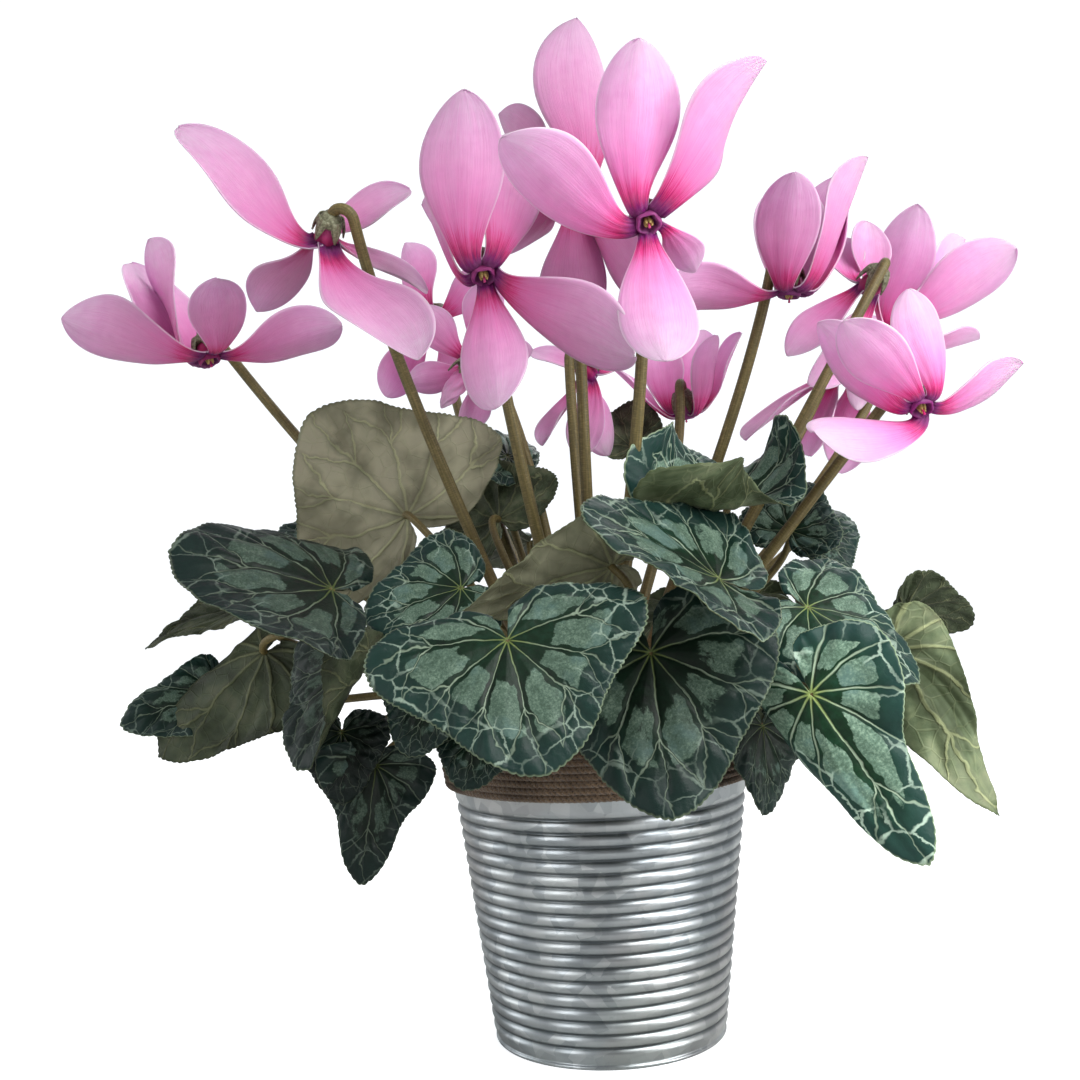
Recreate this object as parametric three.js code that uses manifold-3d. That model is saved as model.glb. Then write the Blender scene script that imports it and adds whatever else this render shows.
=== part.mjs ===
// A potted cyclamen: a ribbed zinc pot bound with jute rope, soil, the tuber, its leaves and its flowers.
// Millimetres, +Z up, origin at the centre of the pot's flat base, -Y towards the viewer of the front.
import * as THREE from "three";
import { mergeVertices } from "three/addons/utils/BufferGeometryUtils.js";
import Module from "manifold-3d";

const wasm = await Module();
wasm.setup();

// ---------- driving dimensions ----------

const GAP = 0.3; // between pieces that touch
const ROUND = 20; // sides of the pot, the rope and the soil

const POT_HEIGHT = 130;
const POT_FOOT_RADIUS = 48;
const POT_TAPER = 0.124; // growth of the radius for each millimetre of height
const POT_WALL = 0.9;
const POT_FLOOR = 1.5;
const FOOT_ROUNDING = 0.8;
const RIB_COUNT = 18;
const RIB_PITCH = 5.29;
const RIB_DEPTH = 1.0;
const LOWEST_GROOVE = 8.4;
const RIM_HEIGHT = 2.3;
const RIM_LIP = 1.2;

const ROPE_DIAMETER = 3.2;
const ROPE_TURNS = 7;
const ROPE_BOTTOM = 104.6;
const ROPE_VALLEY = 1.2; // how deep the valley between two turns is

const SOIL_LEVEL = 116;
const SOIL_DOME = 4;

const TUBER_BOTTOM = 94;
const TUBER_MIDDLE = 110;
const TUBER_SIDES = 14;
const TUBER_PROFILE = [[30.5, 127], [33, 121], [33, 113], [27, 102], [15, 96]]; // radius and height
const CROWN_RINGS = [5, 12.5, 19.5, 26.5]; // radii of the rings on which the stems stand, inner to outer
const STEM_DEPTH = 5; // how far a stem goes down into the tuber
const STEM_SPACE = 8; // least distance between neighbouring stems on a ring
const STEM_RISE = 1.6; // how far a stem goes straight up out of its hole before it leans
const HOLE_CLEARANCE = 0.6;
const HOLE_SIDES = 5;

const BLADE = 0.8; // thickness of a leaf
const PETAL = 0.7; // thickness of a petal
const PETIOLE_SIDES = 4;
const STALK_SIDES = 5;
const PETIOLE_RADII = [2.1, 1.5]; // at the tuber and under the blade
const STALK_RADII = [2.6, 2.2]; // at the tuber and at the flower

const HOOK_RADIUS = 4.8; // of the bend at the top of a flower's stalk
const HOOK_STEPS = 3;
const TUBE_LENGTH = 8; // from a flower's mouth back to its calyx
const CALYX_LENGTH = 5;
const CALYX_RADIUS = 5.6;
const MOUTH_RADIUS = 5.4;
const TUBE_SIDES = 5;
const PETAL_STATIONS = [0, 0.3, 0.64, 0.9]; // shares of a petal's length where its edges are measured
const PETAL_SLOTS = [-114, -48, 48, 114, 180]; // degrees from the stalk's side, which is left free
const HANGING_SLOTS = [-144, -72, 0, 72, 144]; // where one petal hangs in front of the stalk
const PETAL_WIDTH = 0.44; // greatest width over length
const PETAL_CUP = 0.18;

// ---------- leaves ----------

// The margin of a leaf: angles from the tip in degrees, and its distance from the hub there, over the length.
const MARGIN = [
  [0, 1], [20, 0.93], [40, 0.87], [60, 0.85], [80, 0.85], [100, 0.84],
  [120, 0.83], [138, 0.78], [153, 0.67], [164, 0.5], [171, 0.34],
];
const TOOTH = 0.035; // depth of the margin's teeth as a share of the length
const LOBE_PITCH = 95; // angle between the tip and the lobe beside it
const MIDDLE_RING = 0.56; // where the ring of points between hub and margin lies
const BACK_REACH = 0.7; // length of the back lobes as a share of the leaf's

// hub: where the leaf stalk meets the blade. tip: from the hub to the tip of the flat leaf. face: where the
// upper side looks. wide and back: width, and length of the back lobes, over the usual. sides: how far the
// left and the right half bend up by their edge, in degrees, seen from above with the tip down. ends: the
// same for the tip and the back lobes. twist: turn of the tip about the midrib, in degrees. wave: height as
// a share of the length, count and phase of the margin's waves. lobe: how angular the margin is. edge: number
// of points on the margin. lift: how high the leaf stalk rises first, as a share of its span. ring: the ring
// of the crown where it stands. root: where its root tends, if not towards the hub. joins: the leaf whose
// root and node it shares.
const LEAF = {
  wide: 0.9, back: 0.75, sides: [10, 10], ends: [-10, -10], twist: 0, wave: [0.03, 4, 0], lobe: 0.06,
  edge: 17, ring: 3, lift: 0.2,
};

const LEAVES = {
  leaf_front: {
    hub: [-29, -115, 171], tip: [11, -23, -41], face: [0, -0.85, 0.5],
    wide: 1.2, back: 0.74, sides: [4, 6], ends: [-10, -30], lobe: 0.09, edge: 17,
  },
  leaf_front_right: {
    hub: [20, -92, 163], tip: [4, -12, -57], face: [0.05, -0.95, 0.2],
    wide: 0.92, back: 0.75, sides: [-45, 4], ends: [8, -20], edge: 17,
  },
  leaf_upper_right: {
    hub: [46, -80, 188], tip: [-46, -12, 31], face: [0.55, -0.3, 0.8],
    wide: 0.95, back: 0.7, sides: [35, 5], ends: [-8, 75], edge: 17,
  },
  leaf_curly_right: {
    hub: [55, -36, 217], tip: [44, 12, 12], face: [-0.08, -0.5, 0.8],
    wide: 0.85, back: 1.9, sides: [90, 40], ends: [60, 60], ring: 2, edge: 21, wave: [0.3, 3, 1.57],
  },
  leaf_right: {
    hub: [81, -58, 175], tip: [42, -8, -25], face: [0.35, -0.6, 0.7],
    wide: 0.85, back: 0.6, sides: [-40, 5], ends: [-10, -10],
  },
  leaf_long_right: {
    hub: [76, -90, 146], tip: [36, -12, -60], face: [-0.3, -0.8, 0.3],
    wide: 0.55, back: 0.62, sides: [-105, 0], ends: [-8, -10], lobe: 0.14, edge: 17,
  },
  leaf_far_right: {
    hub: [129, -5, 170], tip: [30, 14, -5], face: [0.1, 0.7, 0.7],
    wide: 0.75, back: 0.6, sides: [30, 10], edge: 13,
  },
  leaf_far_right_low: {
    hub: [120, -20, 155], tip: [41, 10, -67], face: [0.4, 0.9, 0.1],
    wide: 0.34, back: 0.4, sides: [35, 35], twist: 60, joins: "leaf_far_right",
  },
  leaf_left: {
    hub: [-98, -62, 190], tip: [-54, -18, 22], face: [0.1, -0.55, 0.8],
    wide: 0.95, back: 0.4, sides: [-30, 20], ends: [-10, 60], lobe: 0, edge: 17,
  },
  leaf_inner_left: {
    hub: [-50, -52, 188], tip: [-37, -8, -9], face: [-0.1, -0.75, 0.6],
    back: 0.6, sides: [10, 15], ends: [-5, 5], edge: 17, ring: 2,
  },
  leaf_pale_front: {
    hub: [8, -54, 194], tip: [-57, -30, -9], face: [0, 0.75, 0.6],
    wide: 0.5, back: 0.4, sides: [10, 20], ring: 2,
  },
  leaf_pale_back: {
    hub: [-76, 0, 218], tip: [-42, 20, 45], face: [0.1, 0.8, -0.3],
    wide: 0.95, back: 0.5, sides: [5, -5], ring: 2, edge: 17,
  },
  leaf_small_back: {
    hub: [-34, 24, 243], tip: [-24, 2, 17], face: [0, -0.5, 0.85],
    wide: 1, sides: [-20, 20], edge: 13, ring: 1, root: [-40, 5],
  },
  leaf_green_back: {
    hub: [-38, 10, 215], tip: [-13, 15, 23], face: [0, 0.9, 0.3], wide: 1.2, edge: 13,
    joins: "leaf_small_back",
  },
  leaf_low_left: {
    hub: [-137, -8, 164], tip: [-50, -6, -39], face: [0.3, 0.85, -0.2],
    wide: 0.65, back: 0.4, sides: [10, 110], ends: [20, 0], edge: 17,
  },
  leaf_tip_left: {
    hub: [-163, 4, 146], tip: [-38, -10, -8], face: [-0.2, -0.9, 0.5], wide: 0.6, back: 0.3, sides: [10, 10],
    edge: 13, joins: "leaf_low_left",
  },
  leaf_thin_left: {
    hub: [-152, 23, 183], tip: [-45, -5, -12], face: [-0.1, 0.2, 1], wide: 0.8, back: 0.4, edge: 13,
  },
  leaf_folded_left: {
    hub: [-92, -49, 160], tip: [-25, -14, -35], face: [-0.5, -0.6, 0.5], wide: 1, back: 0.5, sides: [10, 120],
  },
  leaf_round_left: {
    hub: [-99, -48, 134], tip: [0, -8, -26], face: [-0.1, -0.95, 0.1], wide: 0.85, back: 0.6, edge: 13,
  },
  leaf_hanging: {
    hub: [-86, -50, 121], tip: [-7, -6, -45], face: [0.1, -0.95, 0.2],
    wide: 0.6, back: 0.4, lobe: 0.13, edge: 17, joins: "leaf_round_left", lift: 0.4,
  },
  leaf_under_front: {
    hub: [-60, -74, 150], tip: [-10, -10, -20], face: [-0.2, -0.8, 0.5], wide: 1, back: 0.6, edge: 13,
  },
  leaf_by_rim: {
    hub: [-44, -70, 134], tip: [-6, -10, -18], face: [0, -0.9, 0.4], wide: 1, back: 0.5, edge: 13,
    joins: "leaf_under_front",
  },
  leaf_under_right: {
    hub: [63, -50, 130], tip: [2, -6, -33], face: [0.7, -0.7, 0.2], wide: 0.8, back: 0.5, edge: 13,
  },
  leaf_back_right: {
    hub: [98, 52, 205], tip: [26, 16, 6], face: [0.1, -0.8, 0.6], wide: 1.1, back: 0.5, edge: 13, ring: 3,
  },
  leaf_back_centre: {
    hub: [22, 72, 248], tip: [6, 10, 22], face: [0, 0.8, 0.4], wide: 1, edge: 13, ring: 1,
  },
  leaf_inner_right: {
    hub: [84, 0, 205], tip: [9, 10, 22], face: [-0.2, -0.8, 0.3], wide: 1, edge: 13, ring: 3,
  },
  leaf_behind_left: {
    hub: [-112, 36, 206], tip: [-27, 10, 15], face: [0.1, -0.4, 0.9], wide: 1, edge: 13,
  },
  leaf_rear_left: {
    hub: [-72, 72, 168], tip: [-30, 32, -32], face: [-0.35, 0.55, 0.75], sides: [15, -5], ends: [-20, -15],
  },
  leaf_rear_left_low: {
    hub: [-48, 68, 138], tip: [-14, 18, -34], face: [-0.4, 0.85, 0.3],
    wide: 0.85, edge: 13, joins: "leaf_rear_left",
  },
  leaf_rear: {
    hub: [-16, 96, 174], tip: [-6, 34, -36], face: [0, 0.7, 0.7], sides: [-10, 12], ends: [-20, -20],
  },
  leaf_rear_low: {
    hub: [6, 76, 140], tip: [4, 18, -38], face: [0.1, 0.9, 0.3], wide: 0.85, edge: 13, joins: "leaf_rear",
  },
  leaf_rear_right: {
    hub: [55, 86, 168], tip: [24, 32, -36], face: [0.25, 0.65, 0.7], sides: [10, -8], ends: [-25, -10],
  },
  leaf_rear_upper: {
    hub: [-28, 74, 206], tip: [-16, 40, -8], face: [0.1, 0.2, 0.95], wide: 0.95, edge: 13, joins: "leaf_rear",
  },
  leaf_rear_side: {
    hub: [98, 44, 166], tip: [32, 22, -32], face: [0.5, 0.5, 0.7], sides: [-8, 14], ends: [-20, -10],
  },
  leaf_rear_side_low: {
    hub: [62, 48, 138], tip: [16, 14, -34], face: [0.6, 0.7, 0.35],
    wide: 0.85, edge: 13, joins: "leaf_rear_side",
  },
};

// ---------- flowers ----------

// mouth: centre of the corolla's mouth. faces: where the mouth looks. rise: direction of the stalk below its
// hook. petals: from the mouth to each petal's tip, and the turn of its tip about its midline, in degrees.
// ring: the ring of the crown where the stalk stands. root: where its root tends, if not towards the mouth.
// hangs: whether a petal hangs down in front of the stalk.
const FLOWERS = {
  bloom_far_left: {
    mouth: [-161, 15, 290], faces: [0.3, -0.2, -0.92], rise: [-0.5, -0.35, 0.8], root: [-150, 70], ring: 2,
    petals: [[-60, -12, 20, 60], [-31, 22, 60, 70], [-44, 34, 52, 20], [16, -42, 27, 0], [57, 8, 14, -50]],
  },
  bloom_left: {
    mouth: [-98, -42, 326], faces: [-0.35, 0.6, -0.7], rise: [-0.12, -0.5, 0.85], root: [-98, -30], ring: 2,
    petals: [[-54, -10, 45, 0], [-36, 32, -20, 75], [39, -40, -54, 0], [32, 20, 24, 0], [36, 30, -16, 0]],
  },
  bloom_centre: {
    mouth: [-35, -62, 305], faces: [0.1, -0.6, -0.8], rise: [-0.1, 0.05, 1], hangs: true, ring: 1,
    petals: [[-4, -10, 68, 0], [18, 20, 60, 0], [-25, 27, 36, 0], [54, -30, -37, 0], [4, -22, -52, 30]],
  },
  bloom_top: {
    mouth: [0, -22, 343], faces: [0, -0.5, -0.85], rise: [0, 0.05, 1], hangs: true, ring: 0,
    petals: [[4, 8, 76, 0], [-30, 26, 44, 0], [-28, 24, -16, 0], [26, -30, -48, 0], [-2, -14, -56, 0]],
  },
  bloom_front: {
    mouth: [27, -78, 318], faces: [0.05, -0.75, -0.65], rise: [0, 0.02, 1], hangs: true, ring: 1,
    petals: [[-1, -14, 63, 0], [-51, -28, 26, -40], [45, -2, 56, 60], [2, -28, -54, 0], [18, 23, -14, 0]],
  },
  bloom_right: {
    mouth: [85, -22, 299], faces: [-0.07, -0.05, -1], rise: [0.22, -0.12, 0.95], root: [90, 30], ring: 1,
    petals: [[8, 37, 54, 0], [-1, -33, 41, 0], [34, 0, 54, 0], [28, 34, 56, 0], [-51, -20, 0, 50]],
  },
  bloom_right_back: {
    mouth: [125, 22, 307], faces: [-0.4, 0.6, -0.65], rise: [0.5, 0.3, 0.8], ring: 2,
    petals: [[-36, -4, -27, 0], [-28, -6, -40, 0], [7, 23, 35, 0], [-7, 28, 30, 0], [16, 34, -30, 0]],
  },
  bloom_far_right: {
    mouth: [145, 55, 291], faces: [-0.3, -0.5, -0.8], rise: [0.3, 0, 0.95], ring: 2,
    petals: [[9, -10, 58, 0], [49, -20, 34, 0], [38, 22, 48, 0], [42, 20, 0, 0], [-20, 2, -32, 0]],
  },
  bloom_low_right: {
    mouth: [131, -42, 249], faces: [0.15, -0.6, -0.75], rise: [0.6, -0.3, 0.75], ring: 2,
    petals: [[-38, 4, 36, 0], [-33, -22, 32, 0], [-4, -4, 46, 0], [43, 12, 17, 0], [-47, -30, -9, 0]],
  },
  bloom_back: {
    mouth: [48, 70, 261], faces: [0.1, 0.3, -0.95], rise: [0, 0.16, 1], ring: 2,
    petals: [[27, -6, 37, 0], [12, 25, 44, 0], [-12, 15, 39, 0], [-34, -4, 24, 0], [14, -22, 34, 0]],
  },
  bloom_small_left: {
    mouth: [-68, 58, 309], faces: [-0.2, -0.8, -0.55], rise: [0, 0, 1], ring: 1,
    petals: [[-12, 10, 40, 0], [30, 0, 24, 0], [-22, -6, -34, 0], [8, -8, -38, 0], [-38, 6, 14, 0]],
  },
  bloom_small_front: {
    mouth: [-47, 30, 286], faces: [0.1, -0.95, -0.3], rise: [0.1, 0, 1], ring: 1,
    petals: [[9, 6, 38, 0], [-24, 2, 26, 0], [-6, -6, -32, 0], [-30, -2, -8, 0], [26, 0, 4, 0]],
  },
  bloom_behind: {
    mouth: [3, 45, 278], faces: [0.3, 0.5, -0.8], rise: [0, 0, 1], ring: 1,
    petals: [[-22, -8, -30, 0], [-6, -5, -36, 0], [-26, 18, 16, 0], [8, 20, -34, 0], [20, 20, 20, 0]],
  },
  bloom_low_back: {
    mouth: [127, 78, 279], faces: [0.3, 0.6, -0.7], rise: [0.4, 0.2, 0.9], ring: 2,
    petals: [[-53, -16, -31, 0], [-24, -18, -40, 0], [-8, -6, -48, 0], [34, 22, -17, 0], [22, 32, 30, 0]],
  },
};

// A flower still closed: its petals lie round each other in a spindle.
const BUD = {
  mouth: [-54, 18, 275], faces: [-0.55, -0.25, -0.8], rise: [-0.4, 0, 0.9], root: [-54, 40], ring: 0,
};
const BUD_PROFILE = [[0, -TUBE_LENGTH], [2.8, -TUBE_LENGTH], [4.2, -1], [3.4, 7], [0, 13]]; // radius, height
const BUD_SIDES = 8;

// ---------- solids ----------

const rad = THREE.MathUtils.degToRad;
const vector = (numbers) => new THREE.Vector3(...numbers);

// A solid from its vertices and its triangles, which face out.
function solidOf(vertices, triangles) {
  const vertProperties = new Float32Array(vertices.flatMap((v) => [v.x, v.y, v.z]));
  const triVerts = new Uint32Array(triangles.flat());
  return new wasm.Manifold(new wasm.Mesh({ numProp: 3, vertProperties, triVerts }));
}

// A solid turned about +Z from its profile of [radius, height] points, counter-clockwise in that plane.
function turned(profile, sides) {
  const points = profile.map(([radius, height]) => new THREE.Vector2(radius, height));
  const lathe = new THREE.LatheGeometry(points, sides).rotateX(Math.PI / 2);
  lathe.deleteAttribute("normal");
  lathe.deleteAttribute("uv");
  const merged = mergeVertices(lathe, 1e-4);
  const index = merged.index.array;
  const kept = [];
  for (let i = 0; i < index.length; i += 3) {
    const [a, b, c] = index.slice(i, i + 3);
    if (a !== b && b !== c && c !== a) kept.push(a, b, c);
  }
  const vertProperties = merged.attributes.position.array;
  return new wasm.Manifold(new wasm.Mesh({ numProp: 3, vertProperties, triVerts: new Uint32Array(kept) }));
}

// The solid moved so that its +Z looks along the axis and its origin lies at the place.
function placed(solid, place, axis) {
  const turn = new THREE.Quaternion().setFromUnitVectors(new THREE.Vector3(0, 0, 1), axis);
  const matrix = new THREE.Matrix4().compose(place, turn, new THREE.Vector3(1, 1, 1));
  return solid.transform(matrix.elements);
}

// A closed sheet of even thickness round a surface, split into triangles alike on both faces.
function sheet(points, triangles, thickness) {
  const count = points.length;
  const normals = points.map(() => new THREE.Vector3());
  const edges = new Set();
  for (const [a, b, c] of triangles) {
    const ab = points[b].clone().sub(points[a]);
    const normal = ab.cross(points[c].clone().sub(points[a]));
    [a, b, c].forEach((i) => normals[i].add(normal));
    [[a, b], [b, c], [c, a]].forEach(([from, to]) => edges.add(from * count + to));
  }
  const offset = (side) => points.map((p, i) => p.clone().addScaledVector(normals[i].normalize(), side));
  const vertices = [...offset(thickness / 2), ...offset(-thickness / 2)];
  const faces = triangles.flatMap(([a, b, c]) => [[a, b, c], [c + count, b + count, a + count]]);
  for (const edge of edges) {
    const from = Math.floor(edge / count);
    const to = edge % count;
    if (edges.has(to * count + from)) continue;
    faces.push([to, from, from + count], [from + count, to + count, to]);
  }
  return solidOf(vertices, faces);
}

// A round stem through the points, thinning evenly from the first radius to the second.
function stem(points, [first, last], sides) {
  const vertices = [];
  const across = new THREE.Vector3(1, 0, 0);
  const total = points.length - 1;
  points.forEach((point, i) => {
    const ahead = points[Math.min(i + 1, total)];
    const along = ahead.clone().sub(points[Math.max(i - 1, 0)]).normalize();
    across.addScaledVector(along, -across.dot(along)).normalize();
    const other = along.clone().cross(across);
    const radius = THREE.MathUtils.lerp(first, last, i / total);
    for (let k = 0; k < sides; k++) {
      const angle = (2 * Math.PI * k) / sides;
      const out = across.clone().multiplyScalar(Math.cos(angle)).addScaledVector(other, Math.sin(angle));
      vertices.push(point.clone().addScaledVector(out, radius));
    }
  });
  const faces = [];
  for (let i = 0; i < total; i++) {
    for (let k = 0; k < sides; k++) {
      const a = i * sides + k;
      const b = i * sides + ((k + 1) % sides);
      faces.push([a, b, b + sides], [a, b + sides, a + sides]);
    }
  }
  const end = total * sides;
  for (let k = 1; k < sides - 1; k++) faces.push([0, k + 1, k], [end, end + k, end + k + 1]);
  return solidOf(vertices, faces);
}

// ---------- pot, rope, soil and tuber ----------

const wallRadius = (height) => POT_FOOT_RADIUS + POT_TAPER * height;
const innerRadius = (height) => wallRadius(height) - RIB_DEPTH - POT_WALL;

function potSolid() {
  const profile = [[0, 0], [POT_FOOT_RADIUS - FOOT_ROUNDING, 0], [POT_FOOT_RADIUS, FOOT_ROUNDING]];
  const firstCrest = LOWEST_GROOVE - RIB_PITCH / 2;
  profile.push([wallRadius(firstCrest), firstCrest]);
  for (let rib = 0; rib < RIB_COUNT; rib++) {
    const groove = LOWEST_GROOVE + rib * RIB_PITCH;
    const crest = groove + RIB_PITCH / 2;
    profile.push([wallRadius(groove) - RIB_DEPTH, groove], [wallRadius(crest), crest]);
  }
  const lipBottom = POT_HEIGHT - RIM_HEIGHT;
  const lipRadius = wallRadius(POT_HEIGHT) + RIM_LIP;
  profile.push([wallRadius(lipBottom), lipBottom], [lipRadius, lipBottom + 0.5]);
  profile.push([lipRadius, POT_HEIGHT - 0.5], [lipRadius - 0.6, POT_HEIGHT]);
  profile.push([innerRadius(POT_HEIGHT), POT_HEIGHT], [innerRadius(POT_FLOOR), POT_FLOOR], [0, POT_FLOOR]);
  return turned(profile, ROUND);
}

function ropeSolid() {
  const ropeTop = ROPE_BOTTOM + ROPE_TURNS * ROPE_DIAMETER;
  const profile = [[wallRadius(ROPE_BOTTOM) + GAP, ROPE_BOTTOM]];
  const valley = (height) => [wallRadius(height) + GAP + ROPE_DIAMETER - ROPE_VALLEY, height];
  profile.push(valley(ROPE_BOTTOM));
  for (let turn = 0; turn < ROPE_TURNS; turn++) {
    const middle = ROPE_BOTTOM + (turn + 0.5) * ROPE_DIAMETER;
    profile.push([wallRadius(middle) + GAP + ROPE_DIAMETER, middle], valley(middle + ROPE_DIAMETER / 2));
  }
  profile.push([wallRadius(ropeTop) + GAP, ropeTop], profile[0]);
  return turned(profile, ROUND);
}

function tuberSolid(grow) {
  const side = (height) => (height > TUBER_MIDDLE ? grow : -grow);
  const profile = TUBER_PROFILE.map(([radius, height]) => [radius + grow, height + side(height)]);
  const top = [0, TUBER_PROFILE[0][1] + grow];
  return turned([top, ...profile, [0, TUBER_BOTTOM - grow]].reverse(), TUBER_SIDES);
}

function soilSolid() {
  const floor = POT_FLOOR + GAP;
  const side = (height) => innerRadius(height) - GAP;
  const profile = [[0, floor], [side(floor), floor], [side(SOIL_LEVEL), SOIL_LEVEL]];
  const top = SOIL_LEVEL + SOIL_DOME;
  profile.push([54, SOIL_LEVEL + 1.5], [48, SOIL_LEVEL + 1], [41, top], [0, top]);
  return turned(profile, ROUND).subtract(tuberSolid(GAP));
}

// ---------- leaves ----------

// A bend of a flat line into an arc that turns by the angle over the reach: where the distance comes to lie.
function bend(distance, reach, degrees) {
  const angle = (rad(degrees) * distance) / reach;
  if (Math.abs(angle) < 1e-6) return { along: distance, lift: 0, angle: 0 };
  const radius = distance / angle;
  return { along: radius * Math.sin(angle), lift: radius * (1 - Math.cos(angle)), angle };
}

function marginShare(degrees) {
  const angle = Math.abs(degrees);
  const next = MARGIN.findIndex(([at]) => at >= angle);
  if (next <= 0) return MARGIN[0][1];
  const [before, low] = MARGIN[next - 1];
  const [after, high] = MARGIN[next];
  return THREE.MathUtils.mapLinear(angle, before, after, low, high);
}

// The directions of a leaf: across to its left half (tip down), along to the tip, and up from its face.
function leafFrame(leaf) {
  const along = vector(leaf.tip).normalize();
  const face = vector(leaf.face);
  const up = face.addScaledVector(along, -face.dot(along)).normalize();
  return { across: along.clone().cross(up), along, up };
}

// The place of a leaf's point, by its share of the way from the hub to the margin and its angle from the tip.
function leafPoint(leaf, share, degrees, reach) {
  const length = vector(leaf.tip).length();
  const { across, along, up } = leafFrame(leaf);
  const lobed = 1 - leaf.lobe * (1 - Math.cos((2 * Math.PI * degrees) / LOBE_PITCH));
  const radius = share * length * reach * lobed;
  const x = radius * Math.sin(rad(degrees)) * leaf.wide;
  const y = radius * Math.cos(rad(degrees)) * (Math.abs(degrees) > 90 ? leaf.back : 1);
  const side = bend(Math.abs(x), 0.85 * length * leaf.wide, leaf.sides[x > 0 ? 0 : 1]);
  const [height, count, phase] = leaf.wave;
  const wave = height * length * share ** 3 * Math.sin(count * rad(degrees) + phase);
  const turn = (rad(leaf.twist) * y) / length;
  const flatX = Math.sign(x) * side.along;
  const lift = side.lift + wave;
  const turnedX = flatX * Math.cos(turn) - lift * Math.sin(turn);
  const turnedZ = flatX * Math.sin(turn) + lift * Math.cos(turn);
  const end = bend(Math.abs(y), y > 0 ? length : BACK_REACH * length, leaf.ends[y > 0 ? 0 : 1]);
  const place = vector(leaf.hub).addScaledVector(across, turnedX);
  place.addScaledVector(along, Math.sign(y) * (end.along - turnedZ * Math.sin(end.angle)));
  return place.addScaledVector(up, end.lift + turnedZ * Math.cos(end.angle));
}

function bladeSolid(leaf) {
  const widest = MARGIN[MARGIN.length - 1][0];
  const last = leaf.edge - 1;
  const angleAt = (j) => THREE.MathUtils.lerp(-widest, widest, j / last);
  const points = [leafPoint(leaf, 0, 0, 1)];
  for (let j = 0; j <= last; j += 2) {
    points.push(leafPoint(leaf, MIDDLE_RING, angleAt(j), marginShare(angleAt(j))));
  }
  const outer = points.length;
  for (let j = 0; j <= last; j++) {
    const tooth = j % 2 ? 0 : TOOTH;
    points.push(leafPoint(leaf, 1, angleAt(j), marginShare(angleAt(j)) - tooth));
  }
  const triangles = [];
  for (let k = 1; k < outer - 1; k++) {
    const edge = outer + 2 * (k - 1);
    triangles.push([0, k + 1, k], [k, edge + 1, edge], [k, k + 1, edge + 1], [k + 1, edge + 2, edge + 1]);
  }
  return sheet(points, triangles, BLADE);
}

// Where a stem has risen straight out of its hole and may lean.
const holeMouth = (root) => root.clone().add(new THREE.Vector3(0, 0, STEM_DEPTH + STEM_RISE));

// The points of a leaf stalk from its root in the tuber to the hub, which it reaches from behind the blade.
function petiolePoints(leaf, root) {
  const hub = vector(leaf.hub);
  const { along, up } = leafFrame(leaf);
  const span = hub.distanceTo(root);
  const arrival = up.clone().addScaledVector(along, 0.35).normalize();
  const below = hub.clone().addScaledVector(up, -2.5);
  const lift = new THREE.Vector3(0, 0, span * leaf.lift);
  const mouth = holeMouth(root);
  const curve = new THREE.CubicBezierCurve3(
    mouth,
    mouth.clone().lerp(below, 0.2).add(lift),
    below.clone().addScaledVector(arrival, -0.3 * span),
    below,
  );
  return [root, ...curve.getSpacedPoints(3), hub];
}

// ---------- flowers ----------

// Half the width of a petal as a share of the greatest, along its length.
function petalShare(share) {
  if (share < 0.6) return 0.15 + 0.85 * Math.sin((Math.PI / 2) * (share / 0.6)) ** 1.3;
  return (1 - ((share - 0.6) / 0.4) ** 2) ** 0.7;
}

// The direction from the flower's axis to its stalk, on which side a gap is left between two petals.
function stalkSide(flower) {
  const faces = vector(flower.faces).normalize();
  const rise = vector(flower.rise).normalize();
  return rise.addScaledVector(faces, -rise.dot(faces)).normalize().negate();
}

// The directions in which the petals leave the mouth, each given to the petal whose tip lies nearest to it.
function petalSlots(flower) {
  const faces = vector(flower.faces).normalize();
  const side = stalkSide(flower);
  const other = faces.clone().cross(side);
  const angles = flower.petals.map(([x, y, z]) => {
    const tip = new THREE.Vector3(x, y, z);
    return Math.atan2(tip.dot(other), tip.dot(side));
  });
  const order = angles.map((_, i) => i).sort((i, j) => angles[i] - angles[j]);
  const slots = flower.hangs ? HANGING_SLOTS : PETAL_SLOTS;
  const slot = (k) => rad(slots[k % slots.length]);
  const cost = (shift) =>
    order.reduce((sum, petal, k) => sum - Math.cos(angles[petal] - slot(k + shift)), 0);
  const shift = [0, 1, 2, 3, 4].reduce((best, s) => (cost(s) < cost(best) ? s : best), 0);
  const directions = [];
  order.forEach((petal, k) => {
    const angle = slot(k + shift);
    directions[petal] = side.clone().multiplyScalar(Math.cos(angle)).addScaledVector(other, Math.sin(angle));
  });
  return directions;
}

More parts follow.
